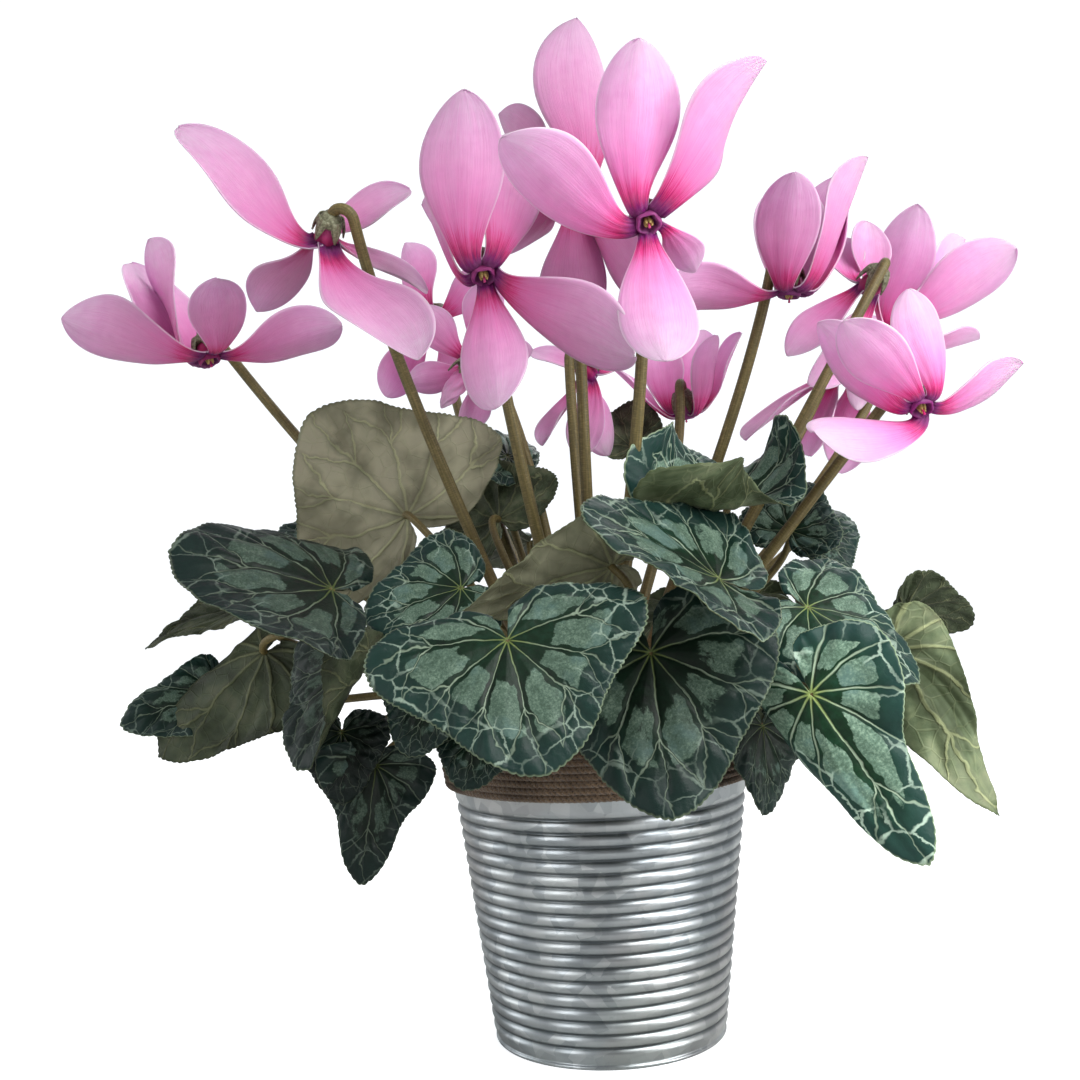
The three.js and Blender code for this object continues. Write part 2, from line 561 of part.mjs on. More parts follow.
function petalSolid(flower, petal, out) {
  const mouth = vector(flower.mouth);
  const faces = vector(flower.faces).normalize();
  const reach = new THREE.Vector3(...petal.slice(0, 3));
  const length = reach.length();
  const tip = mouth.clone().add(reach);
  const base = mouth.clone().addScaledVector(out, MOUTH_RADIUS - 1.4).addScaledVector(faces, -1.5);
  const forward = Math.max(0, reach.dot(faces) / length);
  const spread = MOUTH_RADIUS + 0.14 * length * (1 - forward);
  const rise = (0.07 + 0.15 * forward) * length;
  const turn = mouth.clone().addScaledVector(out, spread).addScaledVector(faces, rise);
  const bow = out.clone().addScaledVector(reach, -out.dot(reach) / length ** 2).normalize();
  const late = tip.clone().addScaledVector(reach, -0.4).addScaledVector(bow, 0.05 * length);
  const curve = new THREE.CubicBezierCurve3(base, turn, late, tip);
  const across = faces.clone().cross(out);
  const points = [];
  PETAL_STATIONS.forEach((share, i) => {
    const along = curve.getTangent(share);
    across.addScaledVector(along, -across.dot(along)).normalize();
    const level = across.clone().applyAxisAngle(along, rad(petal[3]) * share);
    const up = level.clone().cross(along);
    const half = (PETAL_WIDTH / 2) * length * petalShare(share);
    const centre = curve.getPoint(share);
    const edge = centre.clone().addScaledVector(up, PETAL_CUP * half);
    const raised = (side) => edge.clone().addScaledVector(level, side * half);
    points.push(raised(-1), i === PETAL_STATIONS.length - 1 ? tip : centre, raised(1));
  });
  const triangles = [];
  for (let left = 0; left < points.length - 3; left += 3) {
    triangles.push([left, left + 1, left + 4], [left, left + 4, left + 3]);
    triangles.push([left + 1, left + 2, left + 5], [left + 1, left + 5, left + 4]);
  }
  return sheet(points, triangles, PETAL);
}

// A corolla: the short tube with its open mouth, and five petals that turn back from it.
function corollaSolid(flower) {
  const profile = [[0, -TUBE_LENGTH], [5, -TUBE_LENGTH], [6.4, -3], [4.8, 0.4], [3, -1.5], [0, -1.5]];
  const tube = placed(turned(profile, TUBE_SIDES), vector(flower.mouth), vector(flower.faces).normalize());
  const slots = petalSlots(flower);
  return flower.petals.reduce((joined, petal, i) => joined.add(petalSolid(flower, petal, slots[i])), tube);
}

function budSolid() {
  return placed(turned(BUD_PROFILE, BUD_SIDES), vector(BUD.mouth), vector(BUD.faces).normalize());
}

// The points of a flower's stalk: up from its root, over in the hook, and on into the calyx.
function stalkPoints(flower, root) {
  const faces = vector(flower.faces).normalize();
  const rise = vector(flower.rise).normalize();
  const side = stalkSide(flower);
  const end = vector(flower.mouth).addScaledVector(faces, -(TUBE_LENGTH + CALYX_LENGTH - 1));
  const turn = faces.angleTo(rise);
  const hook = [];
  for (let i = 0; i <= HOOK_STEPS; i++) {
    const angle = turn * (1 - i / HOOK_STEPS);
    const place = end.clone().addScaledVector(faces, -HOOK_RADIUS * Math.sin(angle));
    hook.push(place.addScaledVector(side, HOOK_RADIUS * (1 - Math.cos(angle))));
  }
  const span = hook[0].distanceTo(root);
  const mouth = holeMouth(root);
  const curve = new THREE.CubicBezierCurve3(
    mouth,
    mouth.clone().lerp(hook[0], 0.3),
    hook[0].clone().addScaledVector(rise, -0.3 * span),
    hook[0],
  );
  return [root, ...curve.getSpacedPoints(4).slice(0, -1), ...hook];
}

function stalkSolid(flower, root) {
  const profile = [[0, -CALYX_LENGTH], [2.4, -CALYX_LENGTH], [CALYX_RADIUS, -GAP], [0, -GAP]];
  const faces = vector(flower.faces).normalize();
  const back = vector(flower.mouth).addScaledVector(faces, -TUBE_LENGTH);
  const calyx = placed(turned(profile, STALK_SIDES), back, faces);
  return calyx.add(stem(stalkPoints(flower, root), STALK_RADII, STALK_SIDES));
}

// ---------- roots ----------

// Where each stem stands: on its ring, towards what it carries, kept apart from its neighbours.
function placeRoots() {
  const wanted = [];
  for (const [name, leaf] of Object.entries(LEAVES)) {
    if (!leaf.joins) wanted.push({ name, ring: leaf.ring ?? LEAF.ring, to: leaf.root ?? leaf.hub });
  }
  for (const [name, flower] of [...Object.entries(FLOWERS), ["bud", BUD]]) {
    wanted.push({ name, ring: flower.ring, to: flower.root ?? flower.mouth });
  }
  const roots = {};
  CROWN_RINGS.forEach((radius, ring) => {
    const stems = wanted.filter((w) => w.ring === ring);
    stems.forEach((w) => (w.angle = Math.atan2(w.to[1], w.to[0])));
    stems.sort((a, b) => a.angle - b.angle);
    const apart = 2 * Math.asin(STEM_SPACE / (2 * radius));
    if (stems.length * apart > 2 * Math.PI) throw new Error(`ring ${ring} is too full`);
    for (let round = 0; round < 400; round++) {
      stems.forEach((current, i) => {
        const next = stems[(i + 1) % stems.length];
        const wrap = i === stems.length - 1 ? 2 * Math.PI : 0;
        const lack = apart - (next.angle + wrap - current.angle);
        if (stems.length > 1 && lack > 0) {
          current.angle -= lack / 2;
          next.angle += lack / 2;
        }
      });
    }
    const height = TUBER_PROFILE[0][1] - STEM_DEPTH;
    for (const { name, angle } of stems) {
      roots[name] = new THREE.Vector3(radius * Math.cos(angle), radius * Math.sin(angle), height);
    }
  });
  return roots;
}

// ---------- the plant in its pot ----------

const FINISHES = {
  zinc: { color: 0x9aa3a8, roughness: 0.38, metalness: 1 },
  jute: { color: 0x5a4436, roughness: 0.95, metalness: 0 },
  soil: { color: 0x2e231b, roughness: 1, metalness: 0 },
  tuber: { color: 0x5b4532, roughness: 0.9, metalness: 0 },
  leaf: { color: 0x2f4f45, roughness: 0.5, metalness: 0 },
  petal: { color: 0xe79ad2, roughness: 0.55, metalness: 0 },
  stalk: { color: 0x6b5a35, roughness: 0.6, metalness: 0 },
};

const plant = new THREE.Group();

function addPart(name, solid, finish) {
  const { vertProperties, triVerts } = solid.getMesh();
  const geometry = new THREE.BufferGeometry();
  geometry.setAttribute("position", new THREE.BufferAttribute(new Float32Array(vertProperties), 3));
  geometry.setIndex(new THREE.BufferAttribute(new Uint32Array(triVerts), 1));
  const flat = geometry.toNonIndexed();
  flat.computeVertexNormals();
  const mesh = new THREE.Mesh(flat, new THREE.MeshStandardMaterial(FINISHES[finish]));
  mesh.name = name;
  plant.add(mesh);
}

const roots = placeRoots();

function stemHole(stemRadius, root) {
  const radius = (stemRadius + HOLE_CLEARANCE) / Math.cos(Math.PI / HOLE_SIDES);
  const hole = turned([[0, 0], [radius, 0], [radius, 2 * STEM_DEPTH], [0, 2 * STEM_DEPTH]], HOLE_SIDES);
  return hole.translate([root.x, root.y, root.z - GAP]);
}

function holedTuber() {
  return Object.entries(roots).reduce((tuber, [name, root]) => {
    const [stemRadius] = LEAVES[name] ? PETIOLE_RADII : STALK_RADII;
    return tuber.subtract(stemHole(stemRadius, root));
  }, tuberSolid(0));
}

addPart("pot", potSolid(), "zinc");
addPart("rope_band", ropeSolid(), "jute");
addPart("soil", soilSolid(), "soil");
addPart("tuber", holedTuber(), "tuber");

const grown = {};
for (const [name, given] of Object.entries(LEAVES)) {
  const leaf = { ...LEAF, ...given };
  const owner = leaf.joins ?? name;
  const solid = bladeSolid(leaf).add(stem(petiolePoints(leaf, roots[owner]), PETIOLE_RADII, PETIOLE_SIDES));
  grown[owner] = grown[owner] ? grown[owner].add(solid) : solid;
}
for (const [name, solid] of Object.entries(grown)) addPart(name, solid, "leaf");

for (const [name, flower] of Object.entries(FLOWERS)) {
  addPart(name, corollaSolid(flower), "petal");
  addPart(name.replace("bloom", "stalk"), stalkSolid(flower, roots[name]), "stalk");
}
addPart("bud", budSolid(), "petal");
addPart("stalk_bud", stalkSolid(BUD, roots.bud), "stalk");

export default plant;
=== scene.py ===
"""A potted cyclamen: the fine surfaces of its pot, rope, soil, leaves and flowers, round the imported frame.

Lengths are in millimetres and angles in degrees, in the frame's axes, where nothing else is said. Every mesh
is turned into metres as it is made.
"""

import math

import bpy
import numpy as np
from mathutils import Matrix, Vector, noise


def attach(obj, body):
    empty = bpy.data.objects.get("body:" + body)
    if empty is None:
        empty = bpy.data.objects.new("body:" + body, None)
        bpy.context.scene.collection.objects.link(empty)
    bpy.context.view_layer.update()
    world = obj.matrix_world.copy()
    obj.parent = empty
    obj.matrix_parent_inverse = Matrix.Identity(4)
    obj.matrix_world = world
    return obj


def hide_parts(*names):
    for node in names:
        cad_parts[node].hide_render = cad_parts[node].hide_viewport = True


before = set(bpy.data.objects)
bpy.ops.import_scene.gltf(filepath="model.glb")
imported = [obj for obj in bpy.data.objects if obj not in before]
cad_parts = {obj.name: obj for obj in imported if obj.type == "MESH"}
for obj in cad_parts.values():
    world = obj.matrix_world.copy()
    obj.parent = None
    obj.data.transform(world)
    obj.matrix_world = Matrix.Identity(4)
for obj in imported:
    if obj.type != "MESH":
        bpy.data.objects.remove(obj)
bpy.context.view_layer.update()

MM = 0.001

# ---------- camera, light and floor ----------

CAMERA_PLACE = (0.0, -0.588, 0.200)  # metres
CAMERA_YAW = -2.0
CAMERA_PITCH = 0.54
CAMERA_ROLL = -2.6
CAMERA_LENS = 46.67
CAMERA_SENSOR = 36
CAMERA_NEAR = 0.02  # metres
FLOOR_RADIUS = 9.0  # metres
FLOOR_STEPS = 96
FLOOR_COLOUR = "#c6c6c3"
FLOOR_GLOW = 0.9
SKY_COLOUR = "#eef1f4"
SKY_STRENGTH = 0.55
SKY_BEHIND_CAMERA = 0.4  # the share of it on the camera's side
BACKDROP = 1.25  # brightness of what is seen behind the object
# name: place and target in metres, width, height, watts
LIGHTS = {
    "key": ((0.85, -1.0, 1.3), (0, 0, 0.22), 0.6, 0.6, 22),
    "right": ((1.3, -0.75, 0.5), (0, 0, 0.15), 0.35, 1.2, 17),
    "left": ((-0.95, -1.15, 0.6), (0, 0, 0.15), 0.25, 1.2, 6),
    "back": ((0.5, 1.3, 1.2), (0, 0, 0.25), 1.2, 0.8, 11),
    "side": ((-1.4, 0.2, 0.5), (0, 0, 0.15), 0.35, 1.2, 5),
}

# ---------- pot, rope, soil and tuber ----------

GAP = 0.3  # between pieces that touch
POT_HEIGHT = 130
POT_FOOT_RADIUS = 48
POT_TAPER = 0.124  # growth of the radius for each millimetre of height
POT_WALL = 0.9
POT_FLOOR = 1.5
POT_STEPS = 192
RIB_COUNT = 18
RIB_PITCH = 5.29
RIB_DEPTH = 1.4
RIB_STEPS = 10
RIB_ALLOWANCE = 1.0  # from the crests in to the plain wall behind them
CREST_SHAPE = 0.8  # below 1 the crests are round and the grooves narrow
LOWEST_GROOVE = 8.4
SHEET_CUT = 0.3  # how much thinner the sheet is than the solid's wall
RIM_BEAD = 1.3
RIM_HEIGHT = 2.6
RIM_NECK = 0.4
RIM_ARC = (-70, 160)
INSIDE_HEIGHTS = [POT_HEIGHT - 3, 100, 60, POT_FLOOR]
FOOT_BAND = 8
FOOT_EDGE = 1.2
FOOT_BEAD = 0.9
FOOT_ARC = (-80, 80)
FOOT_TOP = 2.6
FOOT_NECK = 0.7

ROPE_DIAMETER = 3.2
ROPE_TURNS = 7
ROPE_BOTTOM = 104.6
ROPE_STEP = 0.7  # along the rope, between two rings of its mesh
ROPE_SIDES = 18
ROPE_LAY = 6.6  # length in which a strand goes once round
ROPE_STRANDS = 3
ROPE_SWELL = 1.04  # the strands' crests over the rope's radius
ROPE_END = 2.5  # length over which an end tapers
ROPE_SLACK = ((0.12, 23), (0.08, 61))  # height and pace of the small waves in which it lies
ROPE_FIBRES = 900
FIBRE_LENGTH = (1.2, 4.2)
FIBRE_RADII = [0.07, 0.07, 0.06, 0.05, 0.03]

SOIL_LEVEL = 116
SOIL_DOME = 4
SOIL_HOLE = 33.4  # radius of the soil round the tuber
SOIL_ROWS = 22
SOIL_STEPS = 150
MOUND_RADIUS = 52
MOUND_SLOPE = 14
HUMPS = (1.1, 0.14, 0.0)  # height, scale and place in the noise
FINE_HUMPS = (0.5, 0.5, 4)
SOIL_CLODS = 420
CLOD_SIZE = (0.7, 2.3)
CLOD_LEVELS = 6
CLOD_SIDES = 8
TUBER_PROFILE = [(0, 127.0), (30.5, 127.0), (33, 121), (33, 113), (27, 102), (15, 96), (0, 94)]
TUBER_STEPS = 96
CROWN_RINGS = [5, 12.5, 19.5, 26.5]  # radii of the rings on which the stems stand, inner to outer
STEM_DEPTH = 5  # how far a stem goes down into the tuber
STEM_SPACE = 8  # least distance between neighbouring stems on a ring
STEM_RISE = 1.6  # how far a stem goes straight up out of its hole before it leans
SPREAD_ROUNDS = 400

# ---------- leaves ----------

BLADE = 0.8  # thickness of a leaf
PETIOLE_RADII = (2.1, 1.5)  # at the tuber and under the blade
PETIOLE_SIDES = 10
# distance from the hub to the margin as a share of the length, by the angle from the tip
MARGIN_ANGLES = [0, 20, 40, 60, 80, 100, 120, 138, 153, 164, 171]
MARGIN_SHARES = [1, 0.93, 0.87, 0.85, 0.85, 0.84, 0.83, 0.78, 0.67, 0.5, 0.34]
LOBE_PITCH = 95  # angle between the tip and the lobe beside it
BACK_REACH = 0.7  # length of the back lobes as a share of the leaf's
MARGIN_LENGTH = 5.2  # round a blade of the usual width, over its length
TOOTH_PITCH = 2.7
TOOTH_DEPTH = 0.75
TOOTH_STEPS = 4
BLADE_ROWS = 30
LEAST_ROWS = 12
FULL_BLADE = 55  # length from which a blade has all its rows
VEIN_SPACING = 36  # between neighbouring main veins
VEIN_BOW = 0.28  # how much the side veins bow towards the tip, in radians
FORKS = ((0.52, 0.8),)  # where a vein forks, and how fast the branches part

# hub: where the leaf stalk meets the blade. tip: from the hub to the tip of the flat leaf. face: where the
# upper side looks. wide, back: width, and length of the back lobes, over the usual. sides: how far the left
# and the right half bend up by their edge, seen from above with the tip down. ends: the same for the tip and
# the back lobes. twist: turn of the tip about the midrib. wave: height as a share of the length, count and
# phase of the margin's waves. lobe: how angular the margin is. ring: the ring of the crown where it stands.
# lift: how high the leaf stalk rises first, as a share of its span. root: where its root tends, if not
# towards the hub. joins: the leaf whose root and node it shares. silver: how much of it the pale patches
# cover, and how pale it is below. light: painted light and shade, a factor on all its colours,
# below 1 for a leaf in shade and above 1 for a lit one.
LEAF = {
    "wide": 0.9, "back": 0.75, "sides": (10, 10), "ends": (-10, -10), "twist": 0,
    "wave": (0.03, 4, 0), "lobe": 0.06, "ring": 3, "lift": 0.2, "root": None, "joins": None,
    "silver": 0.5, "light": 0.7,
}


def leaf(hub, tip, face, **rest):
    return {**LEAF, "hub": hub, "tip": tip, "face": face, **rest}


LEAVES = {
    "leaf_front": leaf(
        (-29, -115, 171), (11, -23, -41), (0, -0.85, 0.5),
        wide=1.2, back=0.74, sides=(4, 6), ends=(-10, -30), lobe=0.09, silver=0.62, light=0.72,
    ),
    "leaf_front_right": leaf(
        (20, -92, 163), (4, -12, -57), (0.05, -0.95, 0.2),
        wide=0.92, sides=(-45, 4), ends=(8, -20), silver=0.4, light=0.5,
    ),
    "leaf_upper_right": leaf(
        (46, -80, 188), (-46, -12, 31), (0.55, -0.3, 0.8),
        wide=0.95, back=0.7, sides=(35, 5), ends=(-8, 75), silver=0.45, light=0.75,
    ),
    "leaf_curly_right": leaf(
        (55, -36, 217), (44, 12, 12), (-0.08, -0.5, 0.8),
        wide=0.85, back=1.9, sides=(90, 40), ends=(60, 60), ring=2, wave=(0.3, 3, 1.57),
        silver=0.55, light=1.2,
    ),
    "leaf_right": leaf(
        (81, -58, 175), (42, -8, -25), (0.35, -0.6, 0.7),
        wide=0.85, back=0.6, sides=(-40, 5), silver=0.65, light=1.1,
    ),
    "leaf_long_right": leaf(
        (76, -90, 146), (36, -12, -60), (-0.3, -0.8, 0.3),
        wide=0.55, back=0.62, sides=(-105, 0), ends=(-8, -10), lobe=0.14, silver=0.7, light=1.45,
    ),
    "leaf_far_right": leaf(
        (129, -5, 170), (30, 14, -5), (0.1, 0.7, 0.7), wide=0.75, back=0.6, sides=(30, 10),
    ),
    "leaf_far_right_low": leaf(
        (120, -20, 155), (41, 10, -67), (0.4, 0.9, 0.1),
        wide=0.34, back=0.4, sides=(35, 35), twist=60, joins="leaf_far_right", light=1.5,
    ),
    "leaf_left": leaf(
        (-98, -62, 190), (-54, -18, 22), (0.1, -0.55, 0.8),
        wide=0.95, back=0.4, sides=(-30, 20), ends=(-10, 60), lobe=0, silver=0.55, light=0.36,
    ),
    "leaf_inner_left": leaf(
        (-50, -52, 188), (-37, -8, -9), (-0.1, -0.75, 0.6),
        back=0.6, sides=(10, 15), ends=(-5, 5), ring=2, silver=0.6, light=0.8,
    ),
    "leaf_pale_front": leaf(
        (8, -54, 194), (-57, -30, -9), (0, 0.75, 0.6),
        wide=0.5, back=0.4, sides=(10, 20), ring=2, silver=0.8, light=1.2,
    ),
    "leaf_pale_back": leaf(
        (-76, 0, 218), (-42, 20, 45), (0.1, 0.8, -0.3),
        wide=0.95, back=0.5, sides=(5, -5), ring=2, silver=0.95, light=1.0,
    ),
    "leaf_small_back": leaf(
        (-34, 24, 243), (-24, 2, 17), (0, -0.5, 0.85), wide=1, sides=(-20, 20), ring=1, root=(-40, 5),
    ),
    "leaf_green_back": leaf(
        (-38, 10, 215), (-13, 15, 23), (0, 0.9, 0.3), wide=1.2, joins="leaf_small_back",
    ),
    "leaf_low_left": leaf(
        (-137, -8, 164), (-50, -6, -39), (0.3, 0.85, -0.2),
        wide=0.65, back=0.4, sides=(10, 110), ends=(20, 0), light=0.5,
    ),
    "leaf_tip_left": leaf(
        (-163, 4, 146), (-38, -10, -8), (-0.2, -0.9, 0.5),
        wide=0.6, back=0.3, joins="leaf_low_left", silver=0.3,
    ),
    "leaf_thin_left": leaf((-152, 23, 183), (-45, -5, -12), (-0.1, 0.2, 1), wide=0.8, back=0.4),
    "leaf_folded_left": leaf(
        (-92, -49, 160), (-25, -14, -35), (-0.5, -0.6, 0.5),
        wide=1, back=0.5, sides=(10, 120), silver=0.3, light=0.4,
    ),
    "leaf_round_left": leaf(
        (-99, -48, 134), (0, -8, -26), (-0.1, -0.95, 0.1), wide=0.85, back=0.6, silver=0.25, light=0.2,
    ),
    "leaf_hanging": leaf(
        (-86, -50, 121), (-7, -6, -45), (0.1, -0.95, 0.2),
        wide=0.6, back=0.4, lobe=0.13, joins="leaf_round_left", lift=0.4, silver=0.35, light=0.35,
    ),
    "leaf_under_front": leaf(
        (-60, -74, 150), (-10, -10, -20), (-0.2, -0.8, 0.5), wide=1, back=0.6, silver=0.25, light=0.45,
    ),
    "leaf_by_rim": leaf(
        (-44, -70, 134), (-6, -10, -18), (0, -0.9, 0.4),
        wide=1, back=0.5, joins="leaf_under_front", silver=0.2, light=0.45,
    ),
    "leaf_under_right": leaf(
        (63, -50, 130), (2, -6, -33), (0.7, -0.7, 0.2), wide=0.8, back=0.5, silver=0.15, light=0.45,
    ),
    "leaf_back_right": leaf(
        (98, 52, 205), (26, 16, 6), (0.1, -0.8, 0.6), wide=1.1, back=0.5, silver=0.2,
    ),
    "leaf_back_centre": leaf((22, 72, 248), (6, 10, 22), (0, 0.8, 0.4), wide=1, ring=1),
    "leaf_inner_right": leaf((84, 0, 205), (9, 10, 22), (-0.2, -0.8, 0.3), wide=1, silver=0.4),
    "leaf_behind_left": leaf((-112, 36, 206), (-27, 10, 15), (0.1, -0.4, 0.9), wide=1),
    "leaf_rear_left": leaf(
        (-72, 72, 168), (-30, 32, -32), (-0.35, 0.55, 0.75), sides=(15, -5), ends=(-20, -15), silver=0.6,
    ),
    "leaf_rear_left_low": leaf(
        (-48, 68, 138), (-14, 18, -34), (-0.4, 0.85, 0.3), wide=0.85, joins="leaf_rear_left",
    ),
    "leaf_rear": leaf(
        (-16, 96, 174), (-6, 34, -36), (0, 0.7, 0.7), sides=(-10, 12), ends=(-20, -20), silver=0.55,
    ),
    "leaf_rear_low": leaf((6, 76, 140), (4, 18, -38), (0.1, 0.9, 0.3), wide=0.85, joins="leaf_rear"),
    "leaf_rear_right": leaf(
        (55, 86, 168), (24, 32, -36), (0.25, 0.65, 0.7), sides=(10, -8), ends=(-25, -10), silver=0.45,
    ),
    "leaf_rear_upper": leaf(
        (-28, 74, 206), (-16, 40, -8), (0.1, 0.2, 0.95), wide=0.95, joins="leaf_rear", silver=0.6,
    ),
    "leaf_rear_side": leaf(
        (98, 44, 166), (32, 22, -32), (0.5, 0.5, 0.7), sides=(-8, 14), ends=(-20, -10), silver=0.6,
    ),
    "leaf_rear_side_low": leaf(
        (62, 48, 138), (16, 14, -34), (0.6, 0.7, 0.35), wide=0.85, joins="leaf_rear_side",
    ),
}

# ---------- flowers ----------

HOOK_RADIUS = 4.8  # of the bend at the top of a flower's stalk
TUBE_LENGTH = 8  # from a flower's mouth back to its calyx
CALYX_LENGTH = 5
STALK_RADII = (2.6, 2.2)  # at the tuber and at the flower
STALK_SIDES = 14
MOUTH_RADIUS = 5.4
PETAL = 0.6  # thickness of a petal
PETAL_WIDTH = 0.47  # greatest width over length
PETAL_WIDEST = 0.62  # where that is, as a share of the length
PETAL_CUP = 0.2
PETAL_CURL = 0.28
PETAL_FOLD = 0.1
PETAL_ROWS = 44
PETAL_COLUMNS = 19
PETAL_SLOTS = [-114, -48, 48, 114, 180]  # from the stalk's side, which is left free
HANGING_SLOTS = [-144, -72, 0, 72, 144]  # where one petal hangs in front of the stalk
# radius, height, and how deep in the throat's colour
TUBE_ROWS = [
    (3.2, -8, 0.14), (4.0, -6.8, 0.14), (4.6, -5, 0.12), (4.9, -3, 0.1), (4.9, -1.2, 0.08), (4.6, 0.2, 0.08),
    (4.1, 0.8, 0.07), (3.6, 0.5, 0.05), (3.1, -0.8, 0.02), (2.4, -2.4, 0), (1.2, -3.2, 0),
]
TUBE_STEPS = 40
# radius and height from the mouth
STYLE_PROFILE = [(0.5, -5), (0.45, 0), (0.4, 2.2), (0.6, 2.6), (0.3, 3.0)]
ANTHER_PROFILE = [(0.3, -3.6), (0.8, -2.4), (0.85, -1), (0.5, 0.5), (0.15, 1.3)]
ANTHER_RING = 1.15
# radius and height from the end of the tube
CUP_PROFILE = [(2.3, -5.2), (3.2, -4.6), (4.6, -2.8), (5.4, -0.8), (5.2, -0.3)]
CUP_STEPS = 30
SEPAL = 0.45


# mouth: the middle of the corolla's mouth. faces: where it looks. rise: how the stalk comes up to its hook.
# petals: from the mouth to each tip, and the turn of the tip. ring, root: as for a leaf. hangs: whether a
# petal hangs down in front of the stalk. blush: how far the deep pink reaches. light: painted
# light and shade, a factor on all its colours, lowest for a flower in shade.
def flower(mouth, faces, rise, petals, ring, root=None, hangs=False, blush=0.5, light=0.75):
    return {
        "mouth": mouth, "faces": faces, "rise": rise, "petals": petals, "ring": ring,
        "root": root, "hangs": hangs, "blush": blush, "light": light,
    }


FLOWERS = {
    "far_left": flower(
        (-161, 15, 290), (0.3, -0.2, -0.92), (-0.5, -0.35, 0.8),
        [(-60, -12, 20, 60), (-31, 22, 60, 70), (-44, 34, 52, 20), (16, -42, 27, 0), (57, 8, 14, -50)],
        ring=2, root=(-150, 70), blush=0.4, light=0.72,
    ),
    "left": flower(
        (-98, -42, 326), (-0.35, 0.6, -0.7), (-0.12, -0.5, 0.85),
        [(-54, -10, 45, 0), (-36, 32, -20, 75), (39, -40, -54, 0), (32, 20, 24, 0), (36, 30, -16, 0)],
        ring=2, root=(-98, -30), blush=0.25, light=0.6,
    ),
    "centre": flower(
        (-35, -62, 305), (0.1, -0.6, -0.8), (-0.1, 0.05, 1),
        [(-4, -10, 68, 0), (18, 20, 60, 0), (-25, 27, 36, 0), (54, -30, -37, 0), (4, -22, -52, 30)],
        ring=1, hangs=True, blush=0.55, light=0.7,
    ),
    "top": flower(
        (0, -22, 343), (0, -0.5, -0.85), (0, 0.05, 1),
        [(4, 8, 76, 0), (-30, 26, 44, 0), (-28, 24, -16, 0), (26, -30, -48, 0), (-2, -14, -56, 0)],
        ring=0, hangs=True, blush=0.55, light=0.58,
    ),
    "front": flower(
        (27, -78, 318), (0.05, -0.75, -0.65), (0, 0.02, 1),
        [(-1, -14, 63, 0), (-51, -28, 26, -40), (45, -2, 56, 60), (2, -28, -54, 0), (18, 23, -14, 0)],
        ring=1, hangs=True, blush=0.5, light=0.88,
    ),
    "right": flower(
        (85, -22, 299), (-0.07, -0.05, -1), (0.22, -0.12, 0.95),
        [(8, 37, 54, 0), (-1, -33, 41, 0), (34, 0, 54, 0), (28, 34, 56, 0), (-51, -20, 0, 50)],
        ring=1, root=(90, 30), blush=0.7, light=0.75,
    ),
    "right_back": flower(
        (125, 22, 307), (-0.4, 0.6, -0.65), (0.5, 0.3, 0.8),
        [(-36, -4, -27, 0), (-28, -6, -40, 0), (7, 23, 35, 0), (-7, 28, 30, 0), (16, 34, -30, 0)],
        ring=2, blush=0.6,
    ),
    "far_right": flower(
        (145, 55, 291), (-0.3, -0.5, -0.8), (0.3, 0, 0.95),
        [(9, -10, 58, 0), (49, -20, 34, 0), (38, 22, 48, 0), (42, 20, 0, 0), (-20, 2, -32, 0)],
        ring=2, blush=0.35, light=0.9,
    ),
    "low_right": flower(
        (131, -42, 249), (0.15, -0.6, -0.75), (0.6, -0.3, 0.75),
        [(-38, 4, 36, 0), (-33, -22, 32, 0), (-4, -4, 46, 0), (43, 12, 17, 0), (-47, -30, -9, 0)],
        ring=2, blush=0.5, light=0.95,
    ),
    "back": flower(
        (48, 70, 261), (0.1, 0.3, -0.95), (0, 0.16, 1),
        [(27, -6, 37, 0), (12, 25, 44, 0), (-12, 15, 39, 0), (-34, -4, 24, 0), (14, -22, 34, 0)],
        ring=2, blush=0.95, light=0.85,
    ),
    "small_left": flower(
        (-68, 58, 309), (-0.2, -0.8, -0.55), (0, 0, 1),
        [(-12, 10, 40, 0), (30, 0, 24, 0), (-22, -6, -34, 0), (8, -8, -38, 0), (-38, 6, 14, 0)],
        ring=1, blush=0.7,
    ),
    "small_front": flower(
        (-47, 30, 286), (0.1, -0.95, -0.3), (0.1, 0, 1),
        [(9, 6, 38, 0), (-24, 2, 26, 0), (-6, -6, -32, 0), (-30, -2, -8, 0), (26, 0, 4, 0)],
        ring=1, blush=0.5,
    ),
    "behind": flower(
        (3, 45, 278), (0.3, 0.5, -0.8), (0, 0, 1),
        [(-22, -8, -30, 0), (-6, -5, -36, 0), (-26, 18, 16, 0), (8, 20, -34, 0), (20, 20, 20, 0)],
        ring=1, blush=0.4,
    ),
    "low_back": flower(
        (127, 78, 279), (0.3, 0.6, -0.7), (0.4, 0.2, 0.9),
        [(-53, -16, -31, 0), (-24, -18, -40, 0), (-8, -6, -48, 0), (34, 22, -17, 0), (22, 32, 30, 0)],
        ring=2, blush=0.6,
    ),
}
BUD = flower((-54, 18, 275), (-0.55, -0.25, -0.8), (-0.4, 0, 0.9), (), ring=0, root=(-54, 40))
BUD_PROFILE = [(2.4, -8), (3.3, -5.5), (4.2, -1), (4.2, 2), (3.4, 7), (1.8, 11), (0.4, 13)]
BUD_SEED = 0.4
BUD_ROWS = 36
BUD_STEPS = 50

# ---------- vectors, curves and closed meshes ----------


def unit(v):
    v = np.asarray(v, float)
    return v / np.linalg.norm(v, axis=-1, keepdims=True)


def bezier(p0, p1, p2, p3, count):
    t = np.linspace(0, 1, count)[:, None]
    return (1 - t) ** 3 * p0 + 3 * (1 - t) ** 2 * t * p1 + 3 * (1 - t) * t**2 * p2 + t**3 * p3


def triple(x, y, z):
    """Three numbers for every point, from arrays and numbers that fit each other."""
    return np.stack(np.broadcast_arrays(x, y, z), -1)


def round_angles(count):
    return np.arange(count) * 2 * np.pi / count


def circle(radius, height, steps):
    angles = round_angles(steps)
    return triple(radius * np.cos(angles), radius * np.sin(angles), height)


